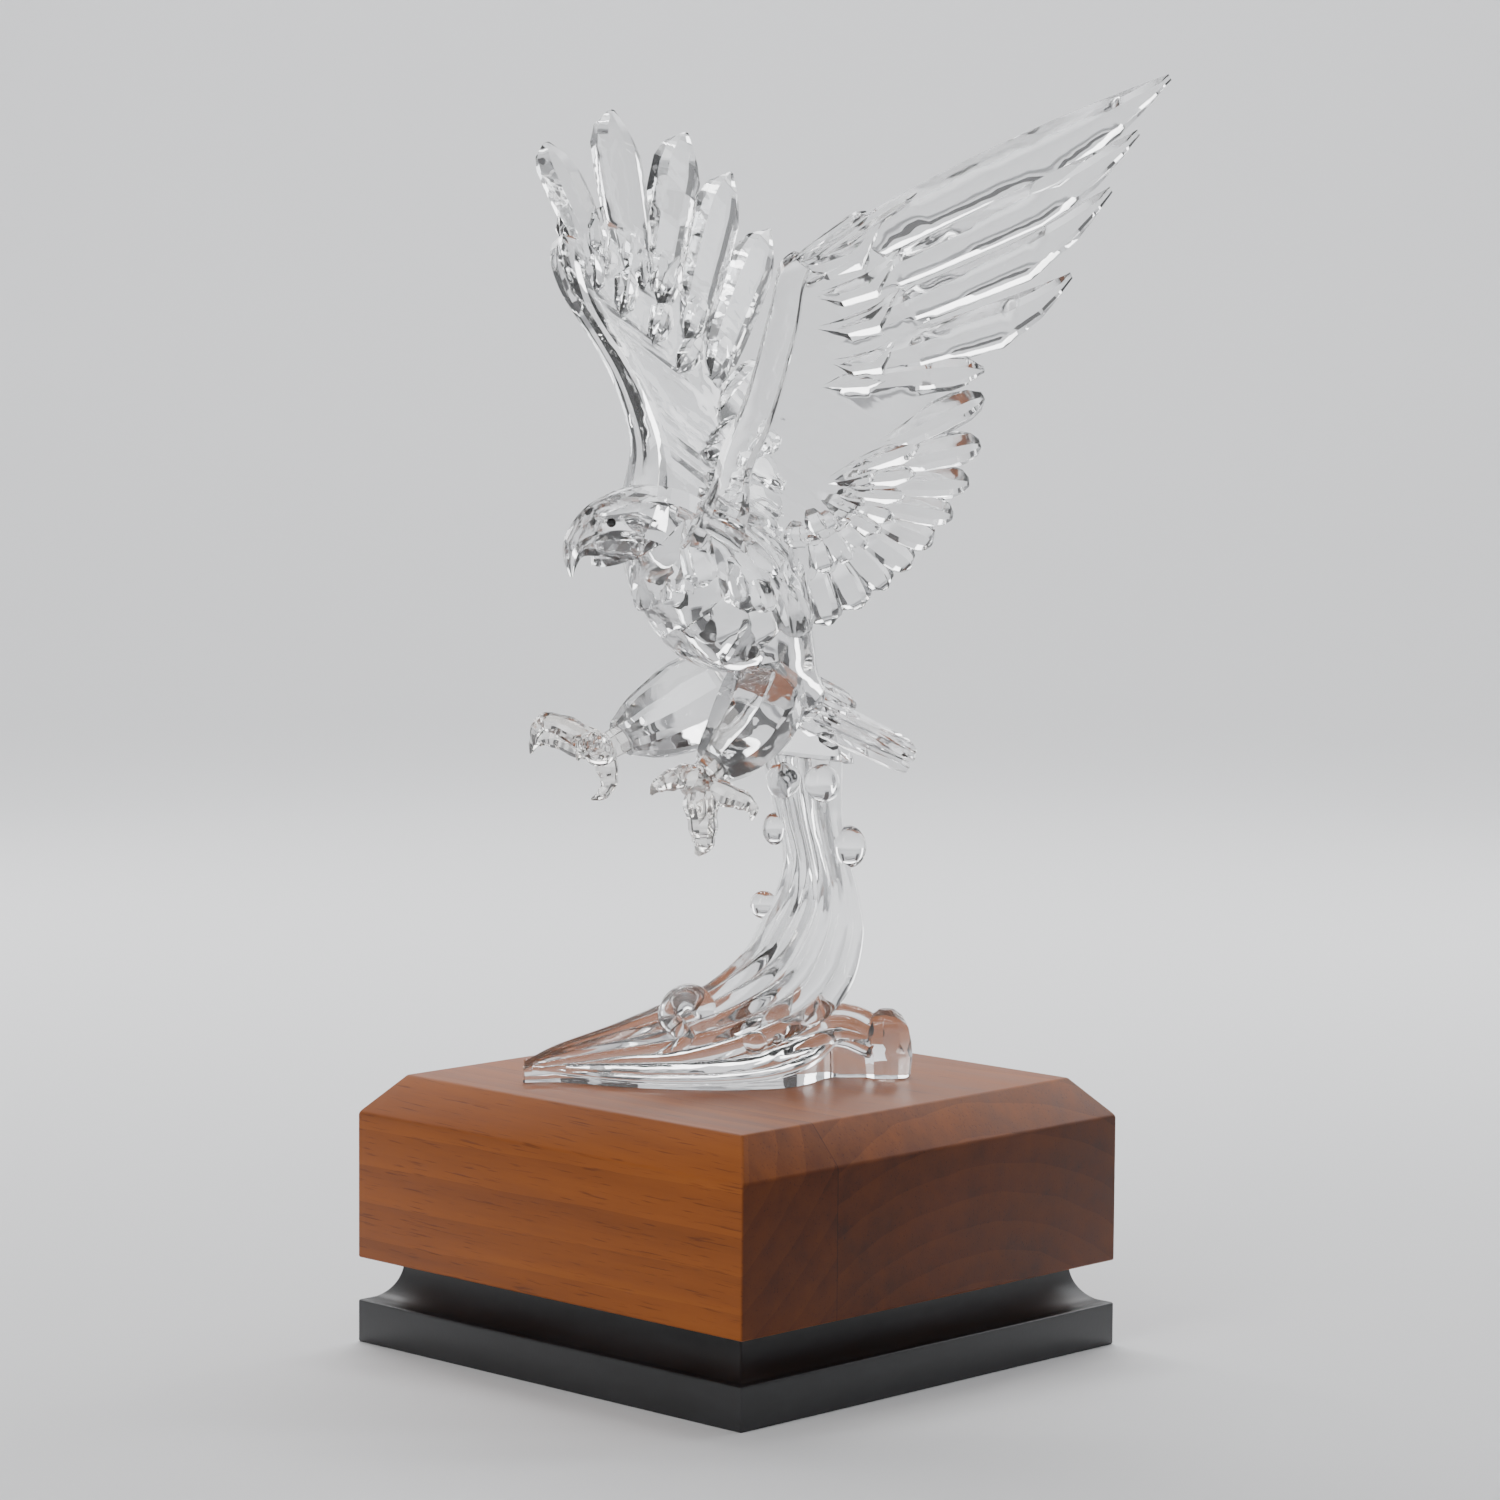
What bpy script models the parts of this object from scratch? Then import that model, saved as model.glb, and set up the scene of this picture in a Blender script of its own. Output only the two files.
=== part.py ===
"""Clear acrylic eagle landing above a breaking wave, on a walnut block over a black moulded base.

Metres, +Z up. The origin is the middle of the base's underside, and the plinth's sides lie along X and Y.
The bird faces -Y and a little towards -X, and the wave runs along the plinth's diagonal.
"""

import math

import bmesh
import bpy
from mathutils import Matrix, Vector

MM = 0.001
JOINT_GAP = 0.3 * MM

# Plinth
BASE_SIDE = 127.0 * MM
BASE_HEIGHT = 20.0 * MM
BASE_STEP_HEIGHT = 10.2 * MM
BASE_COVE_DEPTH = 7.6 * MM
COVE_SEGMENTS = 6
BLOCK_SIDE = 127.0 * MM
BLOCK_HEIGHT = 43.9 * MM
BLOCK_CHAMFER_WIDTH = 8.2 * MM
BLOCK_CHAMFER_DROP = 9.0 * MM
ARRIS = 0.6 * MM

# Figure: everything above the block keeps its proportions as shares of this height
FIGURE_HEIGHT = 232.0 * MM
DRAWN_HEIGHT = 232.0
BIRD_TURN = math.radians(-15.0)
WAVE_TURN = math.radians(45.0)

# Wings, in figure millimetres
WING_SPAN_AXIS = Vector((95.0, 56.2, 94.3)).normalized()
WING_CHORD_HINT = Vector((0.10, 0.90, -0.42))
LEFT_SHOULDER = Vector((13.0, -14.2, 138.2))
RIGHT_SHOULDER = Vector((-13.0, -20.0, 141.5))
ROOT_BEND_START = 16.0
ROOT_BEND_RADIUS = 42.0
ROOT_BEND_LENGTH = 25.0
TIP_BEND_START = 55.0
TIP_BEND_RADIUS = 520.0
CHORD_RADIUS = 320.0
FLIGHT_THICKNESS = 2.4
COVERT_THICKNESS = 3.6
WEB_THICKNESS = 3.2
ARM_THICKNESS = 5.2
SHINGLE_TILT = math.radians(5.0)

BLOCK_TOP = BASE_HEIGHT + JOINT_GAP + BLOCK_HEIGHT
FIGURE_FLOOR = BLOCK_TOP + JOINT_GAP
SCALE = FIGURE_HEIGHT / DRAWN_HEIGHT


def clear_scene():
    for obj in list(bpy.data.objects):
        bpy.data.objects.remove(obj, do_unlink=True)


def new_collection(name):
    collection = bpy.data.collections.new(name)
    bpy.context.scene.collection.children.link(collection)
    return collection


def new_material(name, colour, roughness, transmission=0.0):
    material = bpy.data.materials.new(name)
    material.use_nodes = True
    shader = material.node_tree.nodes["Principled BSDF"]
    shader.inputs["Base Color"].default_value = (*colour, 1.0)
    shader.inputs["Roughness"].default_value = roughness
    shader.inputs["Metallic"].default_value = 0.0
    shader.inputs["IOR"].default_value = 1.49
    shader.inputs["Transmission Weight"].default_value = transmission
    return material


def add_object(name, form, material, collection):
    bmesh.ops.recalc_face_normals(form, faces=form.faces)
    mesh = bpy.data.meshes.new(name)
    form.to_mesh(mesh)
    form.free()
    mesh.materials.append(material)
    obj = bpy.data.objects.new(name, mesh)
    collection.objects.link(obj)
    return obj


def as_helper(obj):
    obj.hide_render = True
    obj.display_type = "WIRE"
    return obj


def add_boolean(obj, name, operation, others):
    modifier = obj.modifiers.new(name, "BOOLEAN")
    modifier.operation = operation
    modifier.solver = "EXACT"
    if isinstance(others, bpy.types.Collection):
        modifier.operand_type = "COLLECTION"
        modifier.collection = others
    else:
        modifier.object = others
    return modifier


def loft(form, rings):
    """A closed skin over rings that hold the same number of points, with a face over each end."""
    rows = [[form.verts.new(point) for point in ring] for ring in rings]
    count = len(rows[0])
    for lower, upper in zip(rows, rows[1:]):
        for i in range(count):
            j = (i + 1) % count
            form.faces.new((lower[i], lower[j], upper[j], upper[i]))
    form.faces.new(rows[0])
    form.faces.new(rows[-1])


def figure_point(x, y, z, turn):
    """A point drawn in figure millimetres, turned about the plinth's axis and set on the block."""
    turned = Matrix.Rotation(turn, 3, "Z") @ Vector((x, y, z))
    return turned * SCALE + Vector((0.0, 0.0, FIGURE_FLOOR))


def on_bird(point):
    return figure_point(*point, BIRD_TURN)


def on_wave(point):
    return figure_point(*point, WAVE_TURN)


def mix(start, end, share):
    return start + (end - start) * share


# Plinth

def square_turned(name, profile, material, collection):
    """A square block with a moulded side: the profile, in half-widths, swept round four corners."""
    mesh = bpy.data.meshes.new(name)
    corner = math.sqrt(2.0)
    points = [(half_width * corner, 0.0, z) for half_width, z in profile]
    mesh.from_pydata(points, [(i, i + 1) for i in range(len(points) - 1)], [])
    mesh.materials.append(material)
    obj = bpy.data.objects.new(name, mesh)
    collection.objects.link(obj)
    obj.rotation_euler.z = math.radians(45.0)
    screw = obj.modifiers.new("four sides", "SCREW")
    screw.steps = 4
    screw.render_steps = 4
    screw.use_smooth_shade = False
    screw.use_merge_vertices = True
    screw.merge_threshold = 0.0001
    bevel = obj.modifiers.new("softened arrises", "BEVEL")
    bevel.width = ARRIS
    bevel.segments = 1
    bevel.limit_method = "ANGLE"
    bevel.angle_limit = math.radians(32.0)
    return obj


def cove_profile():
    """From the step's top edge, a hollow quarter curve up to the neck under the block."""
    half = BASE_SIDE / 2.0
    rise = BASE_HEIGHT - BASE_STEP_HEIGHT
    points = []
    for i in range(COVE_SEGMENTS + 1):
        angle = math.radians(90.0) * i / COVE_SEGMENTS
        inset = BASE_COVE_DEPTH * math.sin(angle)
        points.append((half - inset, BASE_STEP_HEIGHT + rise * (1.0 - math.cos(angle))))
    return points


def make_plinth(collection):
    black = new_material("black lacquer", (0.012, 0.012, 0.014), 0.42)
    walnut = new_material("oiled walnut", (0.30, 0.11, 0.035), 0.38)
    half = BASE_SIDE / 2.0
    base = [(0.0, BASE_HEIGHT)] + cove_profile()[::-1] + [(half, 0.0), (0.0, 0.0)]
    square_turned("black_base", base, black, collection)
    bottom = BASE_HEIGHT + JOINT_GAP
    half = BLOCK_SIDE / 2.0
    block = [
        (0.0, BLOCK_TOP),
        (half - BLOCK_CHAMFER_WIDTH, BLOCK_TOP),
        (half, BLOCK_TOP - BLOCK_CHAMFER_DROP),
        (half, bottom),
        (0.0, bottom),
    ]
    square_turned("walnut_block", block, walnut, collection)


# Wings

class Wing:
    """A bent plate with its own span and chord coordinates, counted from the shoulder in millimetres."""

    def __init__(self, side, shoulder):
        self.side = side
        self.shoulder = shoulder
        self.span = WING_SPAN_AXIS
        self.up = self.span.cross(WING_CHORD_HINT).normalized()
        self.chord = self.up.cross(self.span)

    def spine(self, a):
        """How far along, how far up and at what slope the plate is, a millimetres out from the shoulder."""
        if a < ROOT_BEND_START:
            length = ROOT_BEND_START - a
            slope = min(length, ROOT_BEND_LENGTH) / ROOT_BEND_RADIUS
            along = ROOT_BEND_START - ROOT_BEND_RADIUS * math.sin(slope)
            up = -ROOT_BEND_RADIUS * (1.0 - math.cos(slope))
            straight = max(0.0, length - ROOT_BEND_LENGTH)
            return along - straight * math.cos(slope), up - straight * math.sin(slope), slope
        if a > TIP_BEND_START:
            slope = (a - TIP_BEND_START) / TIP_BEND_RADIUS
            along = TIP_BEND_START + TIP_BEND_RADIUS * math.sin(slope)
            return along, TIP_BEND_RADIUS * (1.0 - math.cos(slope)), slope
        return a, 0.0, 0.0

    def point(self, a, b, height):
        along, up, slope = self.spine(a)
        height -= b * b / (2.0 * CHORD_RADIUS)
        along -= height * math.sin(slope)
        up += height * math.cos(slope)
        place = self.span * along + self.up * up + self.chord * b
        place.x *= self.side
        return on_bird(self.shoulder + place)


# Each outline is a list of (share of the length, share of the width, share of the thickness)
POINTED = ((0.0, 0.80, 1.0), (0.70, 1.0, 1.0), (0.88, 0.74, 0.9), (1.0, 0.16, 0.6))
SLANTED = ((0.0, 0.70, 1.0), (0.35, 0.92, 1.0), (0.66, 1.0, 1.0), (0.84, 0.64, 0.9), (1.0, 0.12, 0.6))
ROUNDED = ((0.0, 0.60, 1.0), (0.72, 1.0, 1.0), (0.93, 0.76, 0.8), (1.0, 0.32, 0.55))
SQUARED = ((0.0, 0.80, 1.0), (0.94, 1.0, 1.0), (1.0, 0.74, 0.6))


def feather_rings(place, root, tip, width, thickness, outline, lift=0.0, tilt=0.0, sweep=0.0, lean=0.0):
    """A six-sided blade with bevelled edges. place turns (along, across, height) into the figure.

    With a lean of 1 the line from root to tip is the blade's leading edge, otherwise its middle.
    """
    root = Vector(root)
    tip = Vector(tip)
    axis = (tip - root).normalized()
    across = Vector((-axis.y, axis.x))
    rings = []
    for share, broad, thick in outline:
        half = width * broad / 2.0
        centre = mix(root, tip, share) + across * (sweep * 4.0 * share * (1.0 - share) + lean * half)
        rise = thickness * thick / 2.0
        bevel = min(half * 0.45, thickness * 0.5)
        section = (
            (-half, 0.0),
            (-half + bevel, rise),
            (half - bevel, rise),
            (half, 0.0),
            (half - bevel, -rise),
            (-half + bevel, -rise),
        )
        ring = []
        for offset, height in section:
            flat = centre + across * (offset * math.cos(tilt))
            ring.append(place(flat.x, flat.y, lift + height + offset * math.sin(tilt)))
        rings.append(ring)
    return rings


def fan_tip(pivot, angle, radius):
    return (
        pivot[0] + radius * math.cos(math.radians(angle)),
        pivot[1] + radius * math.sin(math.radians(angle)),
    )


def blade(form, place, root, tip, width, thickness, outline, lift=0.0, tilt=0.0, sweep=0.0, lean=0.0):
    loft(form, feather_rings(place, root, tip, width, thickness, outline, lift, tilt, sweep, lean))


def limb(form, place, path, radii, sides=6, flatten=1.0):
    """A round-sectioned limb along a path, used for thighs, shanks, toes and claws."""
    points = [Vector(point) for point in path]
    rings = []
    side = None
    for i, point in enumerate(points):
        ahead = points[min(i + 1, len(points) - 1)]
        behind = points[max(i - 1, 0)]
        axis = (ahead - behind).normalized()
        if side is None:
            side = axis.cross(Vector((0.0, 0.0, 1.0)))
            if side.length < 0.2:
                side = axis.cross(Vector((0.0, 1.0, 0.0)))
        side = (side - axis * side.dot(axis)).normalized()
        other = axis.cross(side)
        ring = []
        for k in range(sides):
            angle = 2.0 * math.pi * (k + 0.5) / sides
            offset = side * math.cos(angle) * flatten + other * math.sin(angle)
            ring.append(place(point + offset * radii[i]))
        rings.append(ring)
    loft(form, rings)


def ball(form, centre, radius, detail=2):
    matrix = Matrix.Translation(centre)
    bmesh.ops.create_icosphere(form, subdivisions=detail, radius=radius * SCALE, matrix=matrix)


def add_web(form, wing, stations, thickness):
    """The smooth plate that the feathers grow from: each station is (along, front edge, rear edge)."""
    rings = []
    for along, front, rear in stations:
        half = thickness / 2.0
        section = ((front + 1.5, half), (rear - 1.5, half), (rear, 0.0), (rear - 1.5, -half),
                   (front + 1.5, -half), (front, 0.0))
        rings.append([wing.point(along, across, height) for across, height in section])
    loft(form, rings)


def add_arm(form, wing, line):
    """The thick bar under the wing's front edge. Each point is (along, across, half width, thickness)."""
    rings = []
    for along, across, half, thickness in line:
        rise = thickness / 2.0
        section = ((-half, -rise * 0.7), (-half, rise * 0.7), (-half * 0.4, rise), (half * 0.6, rise),
                   (half, 0.0), (half * 0.6, -rise), (-half * 0.4, -rise))
        rings.append([wing.point(along, across + offset, height) for offset, height in section])
    loft(form, rings)


def secondary_tip(pivot, k, first, pitch, short, long, reach):
    angle = first + pitch * k
    if angle < 90.0:
        radius = short + (long - short) * ((90.0 - angle) / (90.0 - first)) ** 2
    else:
        radius = short + reach * ((angle - 90.0) / 50.0) ** 2
    return angle, radius


def add_fan(form, wing, pivot, fan, count):
    """Secondaries round the elbow, then a row of coverts over their roots."""
    for k in range(count):
        angle, radius = secondary_tip(pivot, k, **fan)
        root = fan_tip(pivot, angle, 7.0)
        tip = fan_tip(pivot, angle, radius)
        blade(form, wing.point, root, tip, 10.6, FLIGHT_THICKNESS, ROUNDED, 0.0, SHINGLE_TILT)
    for k in range(count - 1):
        angle, radius = secondary_tip(pivot, k + 0.5, **fan)
        root = fan_tip(pivot, angle, 5.0)
        tip = fan_tip(pivot, angle, radius * 0.66)
        blade(form, wing.point, root, tip, 8.6, COVERT_THICKNESS, ROUNDED, 0.0, SHINGLE_TILT)


def step_along(root, tip, length):
    root = Vector(root)
    axis = (Vector(tip) - root).normalized()
    return root + axis * length


# The wing nearest the viewer has long slanted quills, given by their leading edges
LEFT_PRIMARIES = (
    # root, tip, width, bow of the quill, lean, length of its covert
    ((57.0, -32.4), (143.7, 5.2), 16.6, -4.2, 1.0, 24.0),
    ((53.0, -23.0), (129.4, 8.4), 13.8, -1.0, 1.0, 24.0),
    ((48.0, -15.0), (115.5, 13.4), 13.6, 0.0, 1.0, 21.0),
    ((43.0, -7.0), (94.7, 21.0), 13.6, 0.0, 1.0, 18.0),
    ((37.0, -2.0), (64.0, 23.5), 11.6, 0.0, 0.0, 17.0),
)
LEFT_FAN_PIVOT = (13.0, 13.8)
LEFT_FAN = {"first": 17.4, "pitch": 14.2, "short": 33.4, "long": 47.9, "reach": 2.4}
LEFT_WEB = (
    (-15.0, 8.0, 24.0),
    (-4.0, -2.0, 33.0),
    (10.0, -5.0, 37.0),
    (24.0, -10.0, 37.0),
    (40.0, -19.0, 30.0),
    (52.0, -26.0, 20.0),
    (62.0, -28.0, 10.0),
    (72.0, -25.0, -5.0),
)
LEFT_ARM = (
    (-8.0, 5.0, 6.0, 12.0),
    (1.0, 3.0, 5.4, 9.0),
    (10.0, -2.6, 4.6, 7.0),
    (24.2, -8.4, 4.6, 6.0),
    (44.7, -20.2, 4.6, 5.6),
    (55.0, -27.2, 4.2, 5.4),
    (60.0, -28.6, 3.0, 4.8),
)
LEFT_ALULA = (
    ((57.0, -30.0), (77.5, -26.0), 4.4, 5.4),
    ((60.0, -27.5), (88.0, -20.5), 4.4, 4.6),
    ((54.0, -25.0), (70.0, -20.0), 4.6, 5.0),
)

RIGHT_PRIMARIES = (
    ((58.0, -14.0), (93.5, -33.5), 13.6, 1.5, 0.0, 20.0),
    ((62.0, -1.5), (119.4, -16.2), 15.4, 0.5, 0.0, 22.0),
    ((62.0, 3.5), (128.5, 7.4), 15.0, 0.0, 0.0, 24.0),
    ((56.0, 14.0), (127.9, 24.2), 14.2, 0.0, 0.0, 24.0),
    ((50.0, 22.0), (119.0, 39.6), 13.4, 0.0, 0.0, 22.0),
)
RIGHT_FAN_PIVOT = (13.0, 13.8)
RIGHT_FAN = {"first": 25.5, "pitch": 13.6, "short": 33.6, "long": 66.5, "reach": 2.4}
RIGHT_WEB = (
    (-15.0, 8.0, 24.0),
    (-4.0, 0.0, 33.0),
    (10.0, 1.0, 37.0),
    (24.0, -4.0, 37.0),
    (36.0, -12.0, 34.0),
    (48.0, -21.0, 30.0),
    (60.0, -25.0, 27.0),
    (70.0, -24.0, 22.0),
    (79.0, -16.0, 10.0),
)
RIGHT_ARM = (
    (-8.0, 7.0, 6.0, 12.0),
    (3.0, 5.2, 5.2, 9.0),
    (14.0, 2.8, 4.4, 6.6),
    (26.4, -2.2, 4.2, 5.8),
    (36.0, -8.6, 4.2, 5.6),
    (47.5, -19.4, 4.2, 5.6),
    (57.0, -23.4, 4.0, 6.0),
    (64.0, -24.0, 3.4, 5.4),
)
# Rows of large faceted coverts over the roots of the right wing's primaries
RIGHT_COVERTS = (
    ((54.0, -18.0), (77.0, -26.5)),
    ((60.0, -16.0), (83.0, -16.0)),
    ((62.0, -6.0), (88.0, -4.0)),
    ((60.0, 4.0), (85.0, 10.0)),
    ((54.0, 12.0), (80.0, 20.0)),
    ((50.0, -16.0), (68.0, -18.0)),
    ((48.0, -8.0), (70.0, -6.0)),
    ((46.0, 2.0), (68.0, 7.0)),
    ((42.0, 10.0), (64.0, 19.0)),
)


def add_wing(form, wing, primaries, pivot, fan, count, web, arm, extra):
    add_web(form, wing, web, WEB_THICKNESS)
    add_arm(form, wing, arm)
    for root, tip, width, bow, lean, covert in primaries:
        outline = SLANTED if lean else POINTED
        covert_tip = step_along(root, tip, covert)
        covert_width = width * 0.80
        blade(form, wing.point, root, tip, width, FLIGHT_THICKNESS, outline, 0.0, SHINGLE_TILT, bow, lean)
        blade(form, wing.point, root, covert_tip, covert_width, COVERT_THICKNESS, POINTED, 0.0, SHINGLE_TILT,
              0.0, lean)
    add_fan(form, wing, pivot, fan, count)
    for root, tip, width, thickness in extra:
        blade(form, wing.point, root, tip, width, thickness, POINTED, 0.0, 0.0)


# Body and head. Stations are (belly y, belly z, back y, back z, half width)
BODY = (
    (-30.4, 123.0, -14.0, 137.0, 8.5),
    (-28.0, 116.0, -8.0, 136.0, 11.0),
    (-24.0, 110.0, -2.0, 133.0, 13.2),
    (-17.4, 101.4, 4.0, 128.0, 14.6),
    (-8.5, 96.4, 10.0, 121.0, 14.8),
    (1.0, 94.5, 14.0, 113.0, 13.4),
    (8.0, 89.0, 16.0, 105.0, 11.0),
    (13.0, 85.0, 17.6, 98.0, 8.6),
    (18.0, 84.0, 20.4, 93.0, 6.4),
)
BODY_SIDES = 12

HEAD_PIVOT = Vector((0.0, -18.0, 128.0))
HEAD_TURN = math.radians(12.0)
# (top forward, top z, bottom forward, bottom z, half width)
HEAD = (
    (-9.0, 134.0, 6.0, 117.0, 9.6),
    (-2.0, 138.0, 9.0, 121.0, 9.6),
    (5.5, 139.7, 12.0, 122.6, 9.2),
    (12.0, 138.8, 15.5, 122.9, 8.6),
    (17.8, 136.5, 18.6, 123.4, 6.8),
    (21.6, 134.2, 21.4, 123.6, 4.4),
    (24.8, 130.6, 23.0, 123.2, 3.4),
    (26.8, 126.0, 23.8, 121.9, 2.4),
    (26.4, 121.4, 24.4, 120.2, 1.3),
    (25.4, 118.8, 24.8, 118.7, 0.5),
)
HEAD_SECTION = (
    (0.42, 1.0), (0.92, 0.80), (0.84, 0.56), (1.0, 0.30), (0.5, 0.0),
    (-0.5, 0.0), (-1.0, 0.30), (-0.84, 0.56), (-0.92, 0.80), (-0.42, 1.0),
)
LOWER_JAW = ((9.0, 124.5, 5.0), (14.0, 122.7, 4.2), (18.0, 122.0, 2.6), (20.0, 122.4, 1.4))
# The eye sits in the cheek between two of the head's stations, a little proud of its skin
EYE_STATION = 3
EYE_SHARE_AHEAD = 0.84
EYE_SHARE_UP = 0.596
EYE_SHARE_OUT = 0.852
EYE_PROUD = 0.15
EYE_RADIUS = 1.15


def in_head(forward, side, z):
    axis = Vector((-math.sin(HEAD_TURN), -math.cos(HEAD_TURN), 0.0))
    across = Vector((math.cos(HEAD_TURN), -math.sin(HEAD_TURN), 0.0))
    place = HEAD_PIVOT + axis * forward + across * side
    return on_bird((place.x, place.y, z))


def eye_place(side):
    """The middle of an eye, found from the head's own stations."""
    behind = HEAD[EYE_STATION]
    ahead = HEAD[EYE_STATION + 1]
    top_f, top_z, low_f, low_z, half = (mix(a, b, EYE_SHARE_AHEAD) for a, b in zip(behind, ahead))
    forward = mix(low_f, top_f, EYE_SHARE_UP)
    z = mix(low_z, top_z, EYE_SHARE_UP)
    return in_head(forward, side * (half * EYE_SHARE_OUT + EYE_PROUD), z)


def body_rings(stations):
    rings = []
    for belly_y, belly_z, back_y, back_z, half_width in stations:
        centre = Vector(((belly_y + back_y) / 2.0, (belly_z + back_z) / 2.0))
        axis = Vector(((back_y - belly_y) / 2.0, (back_z - belly_z) / 2.0))
        ring = []
        for k in range(BODY_SIDES):
            angle = 2.0 * math.pi * (k + 0.5) / BODY_SIDES
            across = math.copysign(abs(math.cos(angle)) ** 0.8, math.cos(angle))
            along = math.copysign(abs(math.sin(angle)) ** 0.9, math.sin(angle))
            place = centre + axis * along
            ring.append(on_bird((across * half_width, place.x, place.y)))
        rings.append(ring)
    return rings


def add_head(form):
    rings = []
    for top_f, top_z, low_f, low_z, half in HEAD:
        ring = []
        for side, height in HEAD_SECTION:
            forward = mix(low_f, top_f, height)
            ring.append(in_head(forward, side * half, mix(low_z, top_z, height)))
        rings.append(ring)
    loft(form, rings)
    rings = []
    for forward, z, half in LOWER_JAW:
        section = ((half, 0.9), (half * 0.5, -1.1), (-half * 0.5, -1.1), (-half, 0.9))
        rings.append([in_head(forward, side, z + height) for side, height in section])
    loft(form, rings)


def turned_blades(form, blades, width, thickness, outline):
    """Blades laid on the body: each has root, tip and the direction that its flat side faces."""
    for root, tip, facing in blades:
        root = Vector(root)
        tip = Vector(tip)
        axis = (tip - root).normalized()
        facing = Vector(facing)
        facing = (facing - axis * facing.dot(axis)).normalized()
        across = facing.cross(axis)

        def place(along, offset, height, root=root, axis=axis, across=across, facing=facing):
            return on_bird(root + axis * along + across * offset + facing * height)

        blade(form, place, (0.0, 0.0), ((tip - root).length, 0.0), width, thickness, outline)


def mirrored(blades, side):
    across = (side, 1.0, 1.0)
    return [[[a * b for a, b in zip(point, across)] for point in line] for line in blades]


SCAPULARS = (
    ((9.0, -20.0, 132.0), (13.6, -17.6, 117.6), (1.0, -0.35, 0.1)),
    ((10.0, -14.0, 131.0), (14.6, -9.0, 113.0), (1.0, -0.2, 0.1)),
    ((11.0, -8.0, 130.0), (15.0, -1.2, 110.8), (1.0, -0.1, 0.1)),
    ((11.0, -3.0, 126.0), (14.8, 4.0, 106.4), (1.0, 0.0, 0.1)),
    ((11.0, 2.0, 121.0), (13.8, 9.6, 105.2), (1.0, 0.15, 0.1)),
)
RUFF = (
    ((5.0, -24.0, 128.0), (6.2, -24.4, 113.0), (0.5, -1.0, -0.4)),
    ((7.4, -21.0, 129.0), (9.6, -22.0, 115.0), (0.8, -0.8, -0.2)),
    ((8.4, -17.0, 131.0), (11.8, -18.6, 116.4), (1.0, -0.5, 0.0)),
    ((0.0, -26.0, 126.0), (0.0, -26.4, 110.6), (0.0, -1.0, -0.5)),
)
NAPE = (
    ((3.5, -14.0, 134.0), (6.0, 2.0, 131.0), (0.25, 0.3, 1.0)),
    ((-3.5, -14.0, 134.0), (-6.0, 2.0, 131.0), (-0.25, 0.3, 1.0)),
    ((0.0, -6.0, 134.0), (0.0, 10.0, 125.5), (0.0, 0.5, 1.0)),
    ((6.0, -4.0, 131.0), (8.0, 11.0, 120.5), (0.4, 0.5, 1.0)),
    ((-6.0, -4.0, 131.0), (-8.0, 11.0, 120.5), (-0.4, 0.5, 1.0)),
)

RIGHT_THIGH = (
    ((-7.0, -1.0, 92.0), 10.0),
    ((-11.0, -7.0, 87.5), 11.2),
    ((-12.0, -14.0, 84.2), 9.6),
    ((-12.0, -19.5, 82.4), 7.8),
    ((-12.0, -23.4, 80.8), 5.6),
    ((-12.0, -25.2, 79.9), 4.7),
)
LEFT_THIGH = (
    ((5.0, 4.0, 92.0), 10.0),
    ((10.0, -2.0, 86.0), 10.4),
    ((12.0, -8.0, 80.4), 8.8),
    ((12.5, -12.0, 77.4), 7.0),
    ((13.0, -15.0, 75.2), 5.2),
)
SHOULDER_PAD = (
    ((7.6, -19.0, 130.6), 6.6),
    ((8.6, -14.0, 127.6), 6.8),
    ((9.2, -7.0, 123.6), 6.4),
    ((9.4, 0.0, 117.0), 5.4),
    ((9.0, 5.0, 111.0), 4.0),
)
THIGH_SIDES = 8
SHANK_SIDES = 8

TAIL_ROOT = Vector((0.0, 16.0, 91.5))
TAIL_SLOPE = math.radians(-27.0)
TAIL_COUNT = 9
TAIL_SPREAD = math.radians(28.0)
TAIL_LENGTH = 33.0
TAIL_WIDTH = 5.6
TAIL_DROP = 8.0


def tail_place(turn, drop):
    """Feathers spread from the rump in a shallow fan whose outer quills hang lower."""
    straight = Vector((0.0, math.cos(TAIL_SLOPE), math.sin(TAIL_SLOPE)))
    forward = Vector((math.sin(turn), 0.0, 0.0)) + straight * math.cos(turn)
    facing = Vector((-math.sin(turn) * 0.5, -math.sin(TAIL_SLOPE), math.cos(TAIL_SLOPE)))
    facing = (facing - forward * facing.dot(forward)).normalized()
    across = facing.cross(forward)

    def place(along, offset, height):
        start = TAIL_ROOT - Vector((0.0, 0.0, drop))
        return on_bird(start + forward * along + across * offset + facing * height)

    return place


def add_tail(form):
    for k in range(TAIL_COUNT):
        share = 2.0 * k / (TAIL_COUNT - 1) - 1.0
        place = tail_place(TAIL_SPREAD * share, TAIL_DROP * share * share)
        length = TAIL_LENGTH * (1.0 - 0.14 * share * share)
        blade(form, place, (-4.0, 0.0), (length, 0.0), TAIL_WIDTH, 3.0, SQUARED, 0.0, SHINGLE_TILT)
    for k in range(5):
        share = k / 2.0 - 1.0
        place = tail_place(TAIL_SPREAD * 0.7 * share, TAIL_DROP * 0.5 * share * share)
        blade(form, place, (-6.0, 0.0), (15.0, 0.0), 6.0, 3.6, POINTED, 2.6)


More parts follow.
